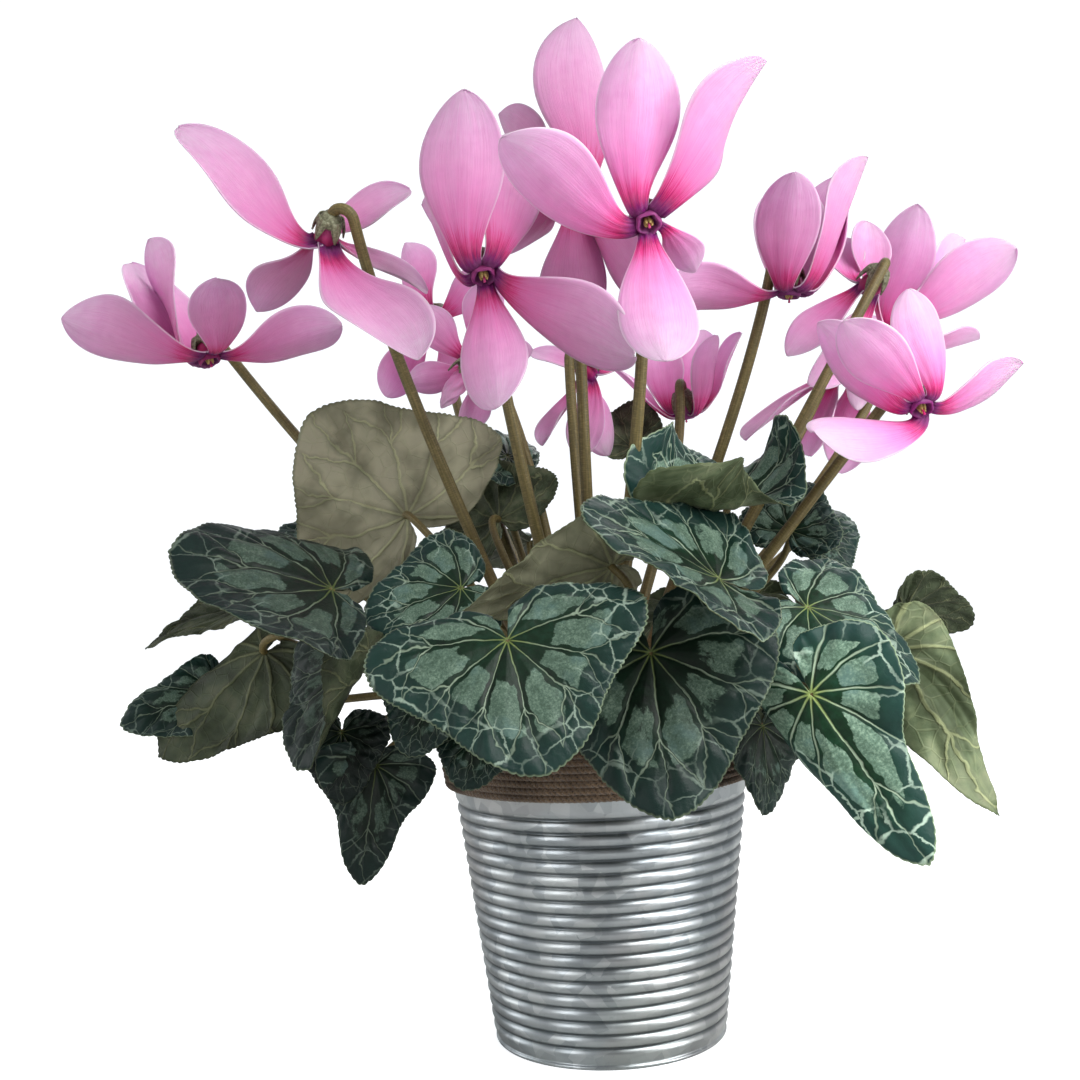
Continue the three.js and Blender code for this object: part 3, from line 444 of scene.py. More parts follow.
def distances(line):
    """How far along a line each of its points lies."""
    return np.concatenate([[0], np.cumsum(np.linalg.norm(np.diff(line, axis=0), axis=1))])


def ramp(x, low, high):
    t = np.clip((x - low) / (high - low), 0, 1)
    return t * t * (3 - 2 * t)


def grid_faces(rows, columns, wrapped=False):
    """Quads over a grid of rows by columns, each as (r, c), (r+1, c), (r+1, c+1), (r, c+1)."""
    last = columns if wrapped else columns - 1
    r, c = np.meshgrid(np.arange(rows - 1), np.arange(last), indexing="ij")
    after = (c + 1) % columns
    corners = [r * columns + c, (r + 1) * columns + c, (r + 1) * columns + after, r * columns + after]
    return np.stack(corners, -1).reshape(-1, 4)


class Piece:
    """One piece of the object: meshes joined under one name, with a pattern and a measure at every point."""

    def __init__(self, name):
        self.name = name
        self.points, self.pattern, self.measure = [], [], []
        self.faces, self.finish = [], []
        self.materials = []
        self.count = 0

    def add_faces(self, faces, first, material):
        """Faces whose corners count from the first point."""
        if material not in self.materials:
            self.materials.append(material)
        self.faces += (faces + first).tolist()
        self.finish += [self.materials.index(material)] * len(faces)

    def add(self, points, pattern, measure):
        """Points, each with three numbers of pattern and measure; returns the number of the first."""
        self.points.append(points)
        self.pattern.append(np.broadcast_to(np.asarray(pattern, float), points.shape))
        self.measure.append(np.broadcast_to(np.asarray(measure, float), points.shape))
        self.count += len(points)
        return self.count - len(points)

    def sheet(self, grid, thickness, upper, under, pattern, measure):
        """A closed sheet round a grid of points, with one material above and one below."""
        rows, columns = grid.shape[:2]
        along, across = np.gradient(grid, axis=0), np.gradient(grid, axis=1)
        normal = np.cross(along, across)
        normal /= np.linalg.norm(normal, axis=-1, keepdims=True) + 1e-9
        half = np.broadcast_to(np.asarray(thickness, float), (rows, columns))[..., None] / 2
        both = np.concatenate([(grid + half * normal).reshape(-1, 3), (grid - half * normal).reshape(-1, 3)])
        below = rows * columns
        index = np.arange(rows * columns).reshape(rows, columns)
        rim = [index[:, 0], index[-1, :], index[::-1, -1], index[0, ::-1]]
        ring = np.concatenate([edge[:-1] for edge in rim])
        after = np.roll(ring, -1)
        edges = np.stack([ring, after, after + below, ring + below], -1)[:, ::-1]
        top = grid_faces(rows, columns)
        first = self.add(both, *(np.tile(values.reshape(-1, 3), (2, 1)) for values in (pattern, measure)))
        self.add_faces(top, first, upper)
        self.add_faces(np.concatenate([top[:, ::-1] + below, edges]), first, under)

    def tube(self, rings, material, pattern=(0, 0, 0), measure=(0, 0, 0)):
        """A closed tube through rings of points, which run counter-clockwise seen against its direction.
        pattern, measure: three numbers for every point, or the same three for all of them."""
        rows, columns = rings.shape[:2]

        def whole(values):
            values = np.asarray(values, float)
            if values.ndim == 1:
                return values
            return np.concatenate([values.reshape(-1, 3), [values[0].mean(0)], [values[-1].mean(0)]])

        around = np.arange(columns)
        after = (around + 1) % columns
        last = (rows - 1) * columns
        start, end = rows * columns, rows * columns + 1
        first = self.add(whole(rings), whole(pattern), whole(measure))
        self.add_faces(grid_faces(rows, columns, wrapped=True)[:, ::-1], first, material)
        self.add_faces(triple(after, around, start), first, material)
        self.add_faces(triple(around + last, after + last, end), first, material)

    def make(self, nodes, slot):
        mesh = bpy.data.meshes.new(self.name)
        points = np.concatenate(self.points)
        mesh.from_pydata((points * MM).tolist(), [], self.faces)
        for name, values in (("pattern", self.pattern), ("measure", self.measure)):
            layer = mesh.attributes.new(name, "FLOAT_VECTOR", "POINT")
            layer.data.foreach_set("vector", np.concatenate(values).astype(np.float32).ravel())
        for material in self.materials:
            mesh.materials.append(material)
        mesh.polygons.foreach_set("material_index", np.array(self.finish, np.int32))
        mesh.polygons.foreach_set("use_smooth", np.ones(len(self.faces), bool))
        mesh.update()
        made = bpy.data.objects.new(self.name, mesh)
        bpy.context.scene.collection.objects.link(made)
        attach(made, "root")
        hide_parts(*nodes)


def swept(path, radii, sides, section=None):
    """Rings along a path. section: the share of the radius by (ring, angle)."""
    path = np.asarray(path, float)
    tangents = unit(np.gradient(path, axis=0))
    angles = round_angles(sides)
    radii = np.broadcast_to(np.asarray(radii, float), len(path))
    across = np.array([1.0, 0, 0]) if abs(tangents[0][0]) < 0.9 else np.array([0, 1.0, 0])
    rings = np.empty((len(path), sides, 3))
    for i, tangent in enumerate(tangents):
        across = unit(across - tangent * (across @ tangent))
        other = np.cross(tangent, across)
        radius = radii[i] * (np.ones(sides) if section is None else section(i, angles))
        around = np.cos(angles)[:, None] * across + np.sin(angles)[:, None] * other
        rings[i] = path[i] + radius[:, None] * around
    return rings


def turned(profile, steps, shape=None):
    """Rings about +Z from rows of radius and height. shape: what (height, angle) adds to the radius."""
    radius = np.array([r for r, _ in profile], float)[:, None]
    height = np.array([h for _, h in profile], float)[:, None]
    if shape is not None:
        radius = radius + shape(height, round_angles(steps))
    return circle(radius, height, steps)


def placed(rings, place, axis):
    """Rings about +Z, turned so that +Z looks along the axis and moved to the place."""
    turn = np.array(Vector((0, 0, 1)).rotation_difference(Vector(unit(axis))).to_matrix())
    return rings @ turn.T + np.asarray(place, float)


def seed_of(name):
    """A number from 0 to 1 that is a name's own."""
    return (sum((i + 3) * ord(letter) for i, letter in enumerate(name)) % 97) / 97


# ---------- materials ----------


def colour(code):
    """A hex code as linear red, green, blue, alpha."""
    channels = [int(code[i : i + 2], 16) / 255 for i in (1, 3, 5)]
    return (*[c / 12.92 if c <= 0.04045 else ((c + 0.055) / 1.055) ** 2.4 for c in channels], 1)


def set_inputs(node, **values):
    """Sets inputs of a node, whose names are written with _ for each space."""
    for name, value in values.items():
        node.inputs[name.replace("_", " ")].default_value = value


def math_method(operation):
    """A method of Field that joins its number and others by a math node."""
    return lambda self, *others: self.math(operation, *others)


class Field:
    """A number that varies over a surface: the output of a material's node, with the usual signs."""

    def __init__(self, tree, socket):
        self.tree, self.socket = tree, socket

    def math(self, operation, *others):
        node = self.tree.nodes.new("ShaderNodeMath")
        node.operation = operation
        for i, value in enumerate((self, *others)):
            if isinstance(value, Field):
                self.tree.links.new(value.socket, node.inputs[i])
            else:
                node.inputs[i].default_value = value
        return Field(self.tree, node.outputs[0])

    __add__ = __radd__ = math_method("ADD")
    __sub__ = math_method("SUBTRACT")
    __mul__ = __rmul__ = math_method("MULTIPLY")
    __truediv__ = math_method("DIVIDE")
    __abs__ = math_method("ABSOLUTE")
    less = math_method("MINIMUM")
    more = math_method("MAXIMUM")

    def __rsub__(self, other):
        return self * -1 + other

    def rise(self, low, high):
        """0 below low, 1 above high, smooth between them; falls where low is above high."""
        node = self.tree.nodes.new("ShaderNodeMapRange")
        node.interpolation_type = "SMOOTHSTEP"
        self.tree.links.new(self.socket, node.inputs["Value"])
        set_inputs(node, From_Min=min(low, high), From_Max=max(low, high))
        set_inputs(node, To_Min=float(low > high), To_Max=float(low < high))
        return Field(self.tree, node.outputs["Result"])


class Nodes:
    """A node tree, with short calls for the nodes it is made of."""

    def __init__(self, tree):
        self.tree = tree

    def node(self, kind, **values):
        node = self.tree.nodes.new("ShaderNode" + kind)
        set_inputs(node, **values)
        return node

    def join(self, value, socket):
        """Gives a socket a number, a hex code, a Field or another node's output."""
        if isinstance(value, Field):
            value = value.socket
        if isinstance(value, str):
            socket.default_value = colour(value)
        elif isinstance(value, bpy.types.NodeSocket):
            self.tree.links.new(value, socket)
        else:
            socket.default_value = value

    def parts(self, socket):
        node = self.node("SeparateXYZ")
        self.tree.links.new(socket, node.inputs[0])
        return [Field(self.tree, out) for out in node.outputs]

    def seen(self):
        """1 where the camera looks straight at it, 0 for rays that come by way of something else."""
        return Field(self.tree, self.node("LightPath").outputs["Is Camera Ray"])


class Paint(Nodes):
    """A node material."""

    def __init__(self, name, **settings):
        self.material = bpy.data.materials.new(name)
        self.material.use_nodes = True
        super().__init__(self.material.node_tree)
        self.shader = self.tree.nodes["Principled BSDF"]
        set_inputs(self.shader, **settings)

    def layer(self, name):
        node = self.node("Attribute")
        node.attribute_name = name
        return self.parts(node.outputs["Vector"])

    def place(self):
        return self.node("TexCoord").outputs["Object"]

    def vector(self, x, y, z):
        node = self.node("CombineXYZ")
        for value, socket in zip((x, y, z), node.inputs):
            self.join(value, socket)
        return node.outputs[0]

    def noise(self, vector, scale, detail=2.0, roughness=0.5):
        node = self.node("TexNoise", Scale=scale, Detail=detail, Roughness=roughness)
        self.tree.links.new(vector, node.inputs["Vector"])
        return Field(self.tree, node.outputs[0])

    def cells(self, vector, scale, feature="F1"):
        node = self.node("TexVoronoi", Scale=scale)
        node.feature = feature
        self.tree.links.new(vector, node.inputs["Vector"])
        return node.outputs

    def net(self, vector, scale):
        """The distance to the edge between two cells."""
        return Field(self.tree, self.cells(vector, scale, "DISTANCE_TO_EDGE")["Distance"])

    def mix(self, factor, first, second, blend="MIX"):
        node = self.node("Mix")
        node.data_type, node.blend_type = "RGBA", blend
        for value, place in ((factor, 0), (first, 6), (second, 7)):
            self.join(value, node.inputs[place])
        return node.outputs[2]

    def coats(self, base, *coats):
        """A colour with others laid over it, each given as how much of it there is and its colour."""
        for factor, code in coats:
            base = self.mix(factor, base, code)
        return base

    def lit(self, base, light):
        """A colour times a number: painted light and shade."""
        return self.mix(1.0, base, self.vector(light, light, light), "MULTIPLY")

    def scale(self, factor, *stops):
        """The colour at a number, through (place, colour) stops."""
        node = self.node("ValToRGB")
        self.join(factor, node.inputs[0])
        elements = node.color_ramp.elements
        while len(elements) < len(stops):
            elements.new(1)
        for element, (position, code) in zip(elements, stops):
            element.position, element.color = position, colour(code)
        return node.outputs[0]

    def finish(self, base, roughness=None, height=None, depth=0.1):
        """depth: what a height of 1 stands proud by."""
        self.join(base, self.shader.inputs["Base Color"])
        if roughness is not None:
            self.join(roughness, self.shader.inputs["Roughness"])
        if height is not None:
            node = self.node("Bump", Distance=depth * MM)
            self.join(height, node.inputs["Height"])
            self.tree.links.new(node.outputs[0], self.shader.inputs["Normal"])
        return self.material


def vein_fields(paint):
    """What a blade's finish reads: the place in the blade, the same by angle and distance from the hub, the
    share of the way to the margin, silver and light (painted light and shade) as in the leaf's
    table, the distance to a vein, and the share of the way from a main vein to the middle between it and
    the next."""
    x, y, seed = paint.layer("pattern")
    share, silver, light = paint.layer("measure")
    flat = paint.vector(x, y, seed * 9)
    sway = paint.noise(flat, 4.5, 3) - 0.5
    radius = (x * x + y * y).math("SQRT")
    angle = x.math("ARCTAN2", y)
    bowed = angle + share * angle.math("SINE") * VEIN_BOW + sway * 0.34
    spacing = math.radians(VEIN_SPACING)
    between = bowed.math("PINGPONG", spacing / 2)
    vein = branch = radius * between
    for start, spread in FORKS:
        branch = abs(branch - (radius - start).more(0) * spread)
        vein = vein.less(branch)
    round_hub = paint.vector(bowed * 1.7, radius * 1.9, seed * 9)
    return flat, round_hub, share, silver, light, vein, between / (spacing / 2)


def leaf_upper():
    paint = Paint("leaf_upper", Specular_IOR_Level=0.2)
    flat, round_hub, share, silver, light, vein, between = vein_fields(paint)
    blur = paint.noise(flat, 3.2, 4, 0.6)
    grain = paint.noise(flat, 22, 4, 0.65)
    ragged = paint.noise(round_hub, 3.4, 7, 0.72)
    speckle = paint.noise(flat, 70, 3, 0.7)
    x, y, z = paint.parts(flat)
    net = paint.net(paint.vector(x + (grain - 0.5) * 0.05, y + (blur - 0.5) * 0.22, z), 4.8)
    line = vein.rise(0.0105, 0.003) * (1 - share.rise(0.5, 1.0) * 0.5)
    outer = (share + (blur - 0.5) * 0.5).rise(0.6, 0.78)
    faded = blur.rise(0.4, 0.58) * 0.7 + 0.3
    net_line = (net + (grain - 0.5) * 0.06).rise(0.042, 0.008) * outer * (silver + 0.25) * faded
    ring = share.rise(0.22, 0.42) * share.rise(0.86, 0.66)
    blotch = ring * between.rise(0.05, 0.45) * (silver + 0.55) + (ragged - 0.5) * 1.3 + (blur - 0.5) * 0.9
    patch = blotch.rise(0.72, 0.86) * vein.rise(0.006, 0.02)
    dark = paint.scale(blur * 0.6 + grain * 0.4, (0.34, "#04150a"), (0.52, "#0b2815"), (0.7, "#173a2a"))
    mottle = speckle * 0.55 + ragged * 0.45
    silvery = paint.scale(mottle, (0.34, "#354b3b"), (0.5, "#576f5f"), (0.66, "#88a08b"))
    base = paint.coats(
        dark,
        # painted reflection: a bluish sheen of the sky laid over the outer part of the blade
        (share.rise(0.45, 0.95) * 0.6, "#213c3a"),
        (patch * 0.9, paint.mix(blur.rise(0.5, 0.66) * 0.5, silvery, "#5d7b78")),
        (net_line * 0.75, "#abc0ae"),
        (line * 0.72, paint.mix(share.rise(0.0, 0.4), "#83944f", "#a2b59c")),
        (share.rise(0.982, 1.0) * 0.7, "#95a685"),
    )
    relief = line * -0.9 + net_line * -0.3 + (grain - 0.5) * 0.6 + net.rise(0.0, 0.35) * outer * 0.8
    # painted light and shade: the leaf's own factor darkens a leaf that lies in shade and lightens a lit one
    return paint.finish(paint.lit(base, light), 0.36 + grain * 0.2 + patch * 0.1, relief, 0.35)


def leaf_under():
    paint = Paint("leaf_under", Specular_IOR_Level=0.25)
    flat, _, share, pale, light, vein, _ = vein_fields(paint)
    blur = paint.noise(flat, 3.0, 3, 0.5)
    grain = paint.noise(flat, 24, 4, 0.65)
    line = vein.rise(0.014, 0.004)
    net_line = (paint.net(flat, 9) + (grain - 0.5) * 0.06).rise(0.05, 0.01)
    base = paint.coats(
        paint.scale(blur * 0.7 + grain * 0.3, (0.3, "#3e4c2c"), (0.5, "#58654a"), (0.7, "#727b5a")),
        (pale.rise(0.5, 0.95) * 0.8, "#a09c84"),
        (blur.rise(0.52, 0.7) * 0.2, "#81776e"),
        (net_line * 0.15, "#939b74"),
        (line * 0.42, "#a9ae80"),
        (vein.rise(0.05, 0.018) * (1 - line) * 0.2, "#4d4d3a"),
        (share.rise(0.97, 1.0) * 0.5, "#46522f"),
    )
    base = paint.mix(blur.rise(0.36, 0.62), paint.mix(1.0, base, "#bdbdb8", "MULTIPLY"), base)
    relief = line * 1.2 + net_line * 0.4 + (grain - 0.5) * 0.6
    # painted light and shade: the leaf's own factor darkens the underside of a leaf in shade and lightens a
    # lit one
    return paint.finish(paint.lit(base, light), 0.5 + grain * 0.15, relief, 0.35)


def petal_finish():
    paint = Paint("petal", Specular_IOR_Level=0.3, Subsurface_Weight=0.6, Subsurface_Scale=0.002)
    set_inputs(paint.shader, Subsurface_Radius=(1.0, 0.5, 0.85))
    length, light, seed = paint.layer("pattern")
    along, across, blush = paint.layer("measure")
    streak = paint.noise(paint.vector(across * 9, along * 1.3, seed * 13), 2.4, 4, 0.6)
    fine = paint.noise(paint.vector(across * 34, along * 2.2, seed * 7), 3.0, 3, 0.6)
    cloud = paint.noise(paint.vector(across * length * 0.02, along * length * 0.1, seed * 5), 2.2, 2)
    feather = (streak - 0.5) * 0.3 + (fine - 0.5) * 0.12
    depth = along + feather * along.rise(0.0, 0.12) - (blush - 0.5) * 0.2 * along.rise(0.0, 0.3)
    base = paint.scale(
        depth, (0.0, "#53084e"), (0.06, "#7e0c6c"), (0.11, "#b91362"), (0.16, "#df3888"),
        (0.26, "#ea7cbc"), (0.46, "#f09fd3"), (0.75, "#f1b8df"), (0.97, "#e4c3dc"),
    )
    base = paint.coats(
        base,
        ((cloud - 0.35) * 0.6, "#d48cc0"),
        (fine.rise(0.5, 0.66) * along.rise(0.05, 0.4) * 0.3, "#cc66a6"),
        (abs(across).rise(0.5, 1.0) * along.rise(0.1, 0.5) * 0.35, "#caa5c6"),
        (abs(across).rise(0.92, 1.0) * 0.55, "#f6e6f2"),
    )
    # painted light and shade: the flower's own factor darkens its petals, most for a flower in shade
    return paint.finish(paint.lit(base, light), 0.44 + fine * 0.16, fine * 0.7 + streak * 0.8, 0.2)


def anther_finish():
    paint = Paint("anther", Roughness=0.7)
    grain = paint.noise(paint.vector(*paint.layer("pattern")), 3, 3)
    return paint.finish(paint.scale(grain, (0.3, "#8a6a3c"), (0.7, "#c9ac6b")), None, grain, 0.1)


def stalk_finish():
    paint = Paint("stalk", Roughness=0.5, Specular_IOR_Level=0.45)
    x, y, z = paint.layer("pattern")
    along, red, _ = paint.layer("measure")
    bands = paint.noise(paint.vector(x * 0.5, y * 0.5, z * 2.4), 1.0, 4, 0.7)
    streak = paint.noise(paint.vector(x * 1.6, y * 1.6, z * 0.07), 1.0, 3)
    base = paint.coats(
        paint.scale(bands * 0.55 + streak * 0.45, (0.3, "#3d361a"), (0.5, "#5f542d"), (0.7, "#877748")),
        (along.rise(0.45, 0.0) * red, "#8a4f3c"),
        (bands.rise(0.6, 0.75) * 0.3, "#a8946c"),
    )
    return paint.finish(base, 0.42 + bands * 0.25, bands * 0.8 + streak * 0.4, 0.18)


def calyx_finish():
    paint = Paint("calyx", Roughness=0.6)
    across = paint.layer("measure")[1]
    grain = paint.noise(paint.vector(*paint.layer("pattern")), 0.9, 4, 0.65)
    base = paint.scale(grain, (0.3, "#3c3a2a"), (0.5, "#6c6c52"), (0.7, "#8f9078"))
    base = paint.mix(abs(across).rise(0.25, 0.0) * 0.5, base, "#4b3327")
    return paint.finish(base, 0.6, grain, 0.25)


def zinc_finish():
    paint = Paint("zinc", Metallic=1.0)
    place = paint.place()
    flake = paint.parts(paint.cells(place, 150)["Color"])[0]
    cloud = paint.noise(place, 26, 5, 0.6)
    dirt = paint.noise(place, 300, 4, 0.7)
    height = paint.parts(place)[2] / MM
    groove = ((height - LOWEST_GROOVE) / RIB_PITCH).math("FRACT")
    # painted shade: the grooves between the ribs darkened, from just above the foot up to below the rope
    groove_shade = abs(groove - 0.5).rise(0.22, 0.5) * height.rise(103, 99) * height.rise(4, 6)
    tone = cloud * 0.75 + flake * 0.25
    base = paint.coats(
        paint.scale(tone, (0.25, "#8b9296"), (0.45, "#a5abaf"), (0.6, "#babfc1"), (0.8, "#d1d5d6")),
        (paint.noise(place, 17, 4).rise(0.48, 0.62) * 0.25, "#ab9f9b"),
        (paint.noise(place, 11, 3).rise(0.52, 0.68) * 0.3, "#8d9b95"),
        # painted shade in the grooves
        (groove_shade * 0.8, "#30393c"),
        (dirt.rise(0.6, 0.75) * 0.3, "#6d7577"),
    )
    rough = 0.2 + cloud * 0.18 + flake * 0.06 + dirt * 0.08
    return paint.finish(base, rough, dirt * 0.4 + flake * 0.2 + cloud, 0.1)


def jute_finish():
    paint = Paint("jute", Roughness=0.95, Specular_IOR_Level=0.15, Sheen_Weight=0.3)
    x, y, z = paint.layer("pattern")
    fibre = paint.noise(paint.vector(x * 3.2, y * 0.25, z), 1.6, 4, 0.7)
    tuft = paint.noise(paint.place(), 420, 4, 0.7)
    cloud = paint.noise(paint.place(), 60, 3)
    tone = fibre * 0.55 + cloud * 0.2 + tuft * 0.25
    base = paint.scale(tone, (0.3, "#3b2d22"), (0.48, "#65513e"), (0.68, "#957e65"))
    # painted shade: darker in the valleys between the strands, where the section dips
    base = paint.mix(z.rise(0.95, 0.6) * 0.85, base, "#1c150f")
    return paint.finish(base, None, fibre * 1.4 + tuft, 0.35)


def soil_finish():
    paint = Paint("soil", Roughness=0.95)
    place = paint.place()
    grain = paint.noise(place, 260, 6, 0.75)
    lump = paint.noise(place, 70, 4)
    base = paint.scale(grain * 0.6 + lump * 0.4, (0.3, "#17110c"), (0.5, "#30241a"), (0.72, "#5a4735"))
    return paint.finish(base, None, grain, 0.9)


def tuber_finish():
    paint = Paint("tuber", Roughness=0.85)
    place = paint.place()
    cork = paint.net(place, 210)
    grain = paint.noise(place, 180, 5, 0.7)
    base = paint.scale(grain, (0.3, "#2f2219"), (0.5, "#5a4331"), (0.7, "#80664a"))
    base = paint.mix(cork.rise(0.07, 0.0) * 0.6, base, "#1e1610")
    return paint.finish(base, None, cork * 1.2 + grain, 0.6)


def floor_finish():
    """A grey table that is seen as bright as the sky, but for a soft shadow."""
    paint = Paint("floor", Roughness=0.7, Emission_Color=colour(SKY_COLOUR))
    paint.join(paint.seen() * FLOOR_GLOW, paint.shader.inputs["Emission Strength"])
    speck = paint.noise(paint.place(), 3, 3)
    return paint.finish(paint.mix(speck, FLOOR_COLOUR, "#c1c1be"))


FINISH = {
    "upper": leaf_upper(), "under": leaf_under(), "petal": petal_finish(), "anther": anther_finish(),
    "stalk": stalk_finish(), "calyx": calyx_finish(), "zinc": zinc_finish(), "jute": jute_finish(),
    "soil": soil_finish(), "tuber": tuber_finish(),
}

# ---------- pot and rope ----------


def wall_radius(height):
    return POT_FOOT_RADIUS + POT_TAPER * height


def inner_radius(height):
    return wall_radius(height) - RIB_ALLOWANCE - POT_WALL


def bead(centre_radius, centre_height, radius, arc, steps):
    """Rows of radius and height round the arc of a rolled edge."""
    angles = np.radians(np.linspace(*arc, steps))
    return [(centre_radius + radius * math.cos(a), centre_height + radius * math.sin(a)) for a in angles]


def pot():
    profile = [(POT_FOOT_RADIUS - FOOT_BAND, 0), (POT_FOOT_RADIUS - FOOT_EDGE, 0)]
    profile += bead(POT_FOOT_RADIUS - FOOT_BEAD, FOOT_BEAD, FOOT_BEAD, FOOT_ARC, 8)
    profile.append((wall_radius(FOOT_TOP) - FOOT_NECK, FOOT_TOP))
    for step in range(RIB_COUNT * RIB_STEPS + 1):
        height = LOWEST_GROOVE - RIB_PITCH / 2 + step * RIB_PITCH / RIB_STEPS
        crest = abs(math.cos(math.pi * (step / RIB_STEPS)))
        profile.append((wall_radius(height) - RIB_DEPTH * (1 - crest**CREST_SHAPE), height))
    lip = POT_HEIGHT - RIM_HEIGHT
    profile.append((wall_radius(lip), lip - RIM_NECK))
    profile += bead(wall_radius(POT_HEIGHT) - 0.1, POT_HEIGHT - RIM_BEAD, RIM_BEAD, RIM_ARC, 14)
    profile += [(inner_radius(h) + SHEET_CUT, h) for h in INSIDE_HEIGHTS]
    piece = Piece("zinc_pot")
    piece.tube(turned(profile, POT_STEPS), FINISH["zinc"])
    piece.make(["pot"], "zinc")


def rope_path():
    """The centre of the rope, a helix that climbs the pot by a diameter each turn, and how far each point
    lies from the nearer end."""
    radius = wall_radius(ROPE_BOTTOM + ROPE_TURNS * ROPE_DIAMETER / 2)
    count = int(2 * math.pi * radius * ROPE_TURNS / ROPE_STEP)
    turn = np.linspace(0, ROPE_TURNS, count)
    height = ROPE_BOTTOM + ROPE_DIAMETER * (0.5 + turn * (ROPE_TURNS - 1) / ROPE_TURNS)
    slack = sum(swing * np.sin(turn * pace) for swing, pace in ROPE_SLACK)
    out = wall_radius(height) + GAP + ROPE_DIAMETER / 2 + slack
    angle = turn * 2 * np.pi + np.pi / 2
    path = triple(out * np.cos(angle), out * np.sin(angle), height + slack * 0.6)
    ends = np.minimum(np.arange(count), np.arange(count)[::-1]) * ROPE_STEP
    return path, ends


def strands(angle):
    """The share of the rope's radius, by the angle from the middle of a strand."""
    return 0.54 + 0.5 * np.abs(np.cos(ROPE_STRANDS / 2 * angle)) ** 0.8


def rope():
    path, ends = rope_path()
    along = np.arange(len(path)) * ROPE_STEP
    lay = along / ROPE_LAY * 2 * np.pi
    radii = ROPE_DIAMETER / 2 * (0.35 + 0.65 * ramp(ends, 0, ROPE_END)) * ROPE_SWELL
    rings = swept(path, radii, ROPE_SIDES, lambda i, angles: strands(angles - lay[i]))
    turn = round_angles(ROPE_SIDES) - lay[:, None]
    piece = Piece("jute_rope")
    piece.tube(rings, FINISH["jute"], triple(turn, along[:, None], strands(turn)))
    chance = np.random.default_rng(11)
    for _ in range(ROPE_FIBRES):
        fibre(piece, path, chance)
    piece.make(["rope_band"], "jute")


def fibre(piece, path, chance):
    """A loose fibre that leaves the rope and curls along it."""
    i = int(chance.integers(8, len(path) - 8))
    along = unit(path[i + 1] - path[i - 1])
    out = unit(path[i] * (1, 1, 0))
    lean = chance.normal(0, 0.5)
    away = unit(out + np.array([0, 0, 1]) * lean)
    start = path[i] + away * ROPE_DIAMETER * 0.44
    length = chance.uniform(*FIBRE_LENGTH)
    direction = along * chance.choice([-1, 1])
    middle = start + direction * length * 0.5 + away * chance.uniform(0.1, 0.5)
    end = start + direction * length + away * chance.uniform(-0.1, 1.1) + (0, 0, chance.normal(0, 0.5))
    line = bezier(start - away * 0.3, start, middle, end, len(FIBRE_RADII))
    piece.tube(swept(line, FIBRE_RADII, 3), FINISH["jute"], (0.5, i, 1))


# ---------- soil and tuber ----------


def humps(x, y, height, scale, place):
    return height * noise.fractal(Vector((x * scale, y * scale, place)), 0.9, 2.1, 4)


def ground(radius, angle):
    """A point of the soil's surface: a mound round the tuber, with humps."""
    x, y = radius * math.cos(angle), radius * math.sin(angle)
    mound = SOIL_DOME * ramp(MOUND_RADIUS - radius, 0, MOUND_SLOPE)
    return x, y, SOIL_LEVEL + mound + humps(x, y, *HUMPS)


def soil():
    edge = inner_radius(SOIL_LEVEL) - GAP
    low = inner_radius(POT_FLOOR) - GAP
    rings = [circle(SOIL_HOLE, SOIL_LEVEL - 6, SOIL_STEPS)]
    for radius in np.linspace(SOIL_HOLE, edge, SOIL_ROWS):
        ring = [ground(radius, angle) for angle in round_angles(SOIL_STEPS)]
        rings.append([(x, y, level + humps(x, y, *FINE_HUMPS)) for x, y, level in ring])
    for radius, height in ((edge, SOIL_LEVEL - 4), (low, POT_FLOOR + GAP), (low - 12, POT_FLOOR + GAP)):
        rings.append(circle(radius, height, SOIL_STEPS))
    piece = Piece("soil_fill")
    piece.tube(np.array(rings)[::-1], FINISH["soil"])
    chance = np.random.default_rng(5)
    for _ in range(SOIL_CLODS):
        clod(piece, chance, edge)
    piece.make(["soil"], "soil")


def clod(piece, chance, edge):
    """A crumb of soil or bark, half sunk in the surface."""
    radius = math.sqrt(chance.uniform(35**2, (edge - 3) ** 2))
    x, y, level = ground(radius, chance.uniform(0, 2 * math.pi))
    size = chance.uniform(*CLOD_SIZE)
    heights = np.linspace(-0.9, 0.9, CLOD_LEVELS)
    profile = [(size * math.sqrt(1 - h * h), size * h * 0.75) for h in heights]
    rings = turned(profile, CLOD_SIDES) * (1 + chance.normal(0, 0.13, (CLOD_LEVELS, CLOD_SIDES, 1)))
    axis = chance.normal(0, 0.5, 3) + (0, 0, 1)
    piece.tube(placed(rings, (x, y, level + size * 0.2), axis), FINISH["soil"])


def tuber():
    corners = np.array(TUBER_PROFILE[::-1])
    shares = np.linspace(0, 1, 9)[:-1]
    profile = [low + (high - low) * t for low, high in zip(corners, corners[1:]) for t in shares]

    def bumps(height, angle):
        return 0.25 * np.sin(9 * angle + height * 0.7) + 0.2 * np.sin(17 * angle - height)

    piece = Piece("tuber_skin")
    piece.tube(turned(profile[1:], TUBER_STEPS, bumps), FINISH["tuber"])
    piece.make(["tuber"], "tuber")


# ---------- roots ----------


def stems_wanted():
    """The ring of each stem, and the angle at which it tends to stand."""
    carried = {name: (one, one["hub"]) for name, one in LEAVES.items() if not one["joins"]}
    carried |= {name: (one, one["mouth"]) for name, one in [*FLOWERS.items(), ("bud", BUD)]}
    wanted = {}
    for name, (one, top) in carried.items():
        x, y = (one["root"] or top)[:2]
        wanted[name] = (one["ring"], math.atan2(y, x))
    return wanted


def push_apart(stems, apart):
    """Pushes a ring's neighbouring stems, as [angle, name], apart until each has its space."""
    for _ in range(SPREAD_ROUNDS):
        for i, current in enumerate(stems):
            after = stems[(i + 1) % len(stems)]
            wrap = 2 * math.pi if i == len(stems) - 1 else 0
            lack = apart - (after[0] + wrap - current[0])
            if len(stems) > 1 and lack > 0:
                current[0] -= lack / 2
                after[0] += lack / 2


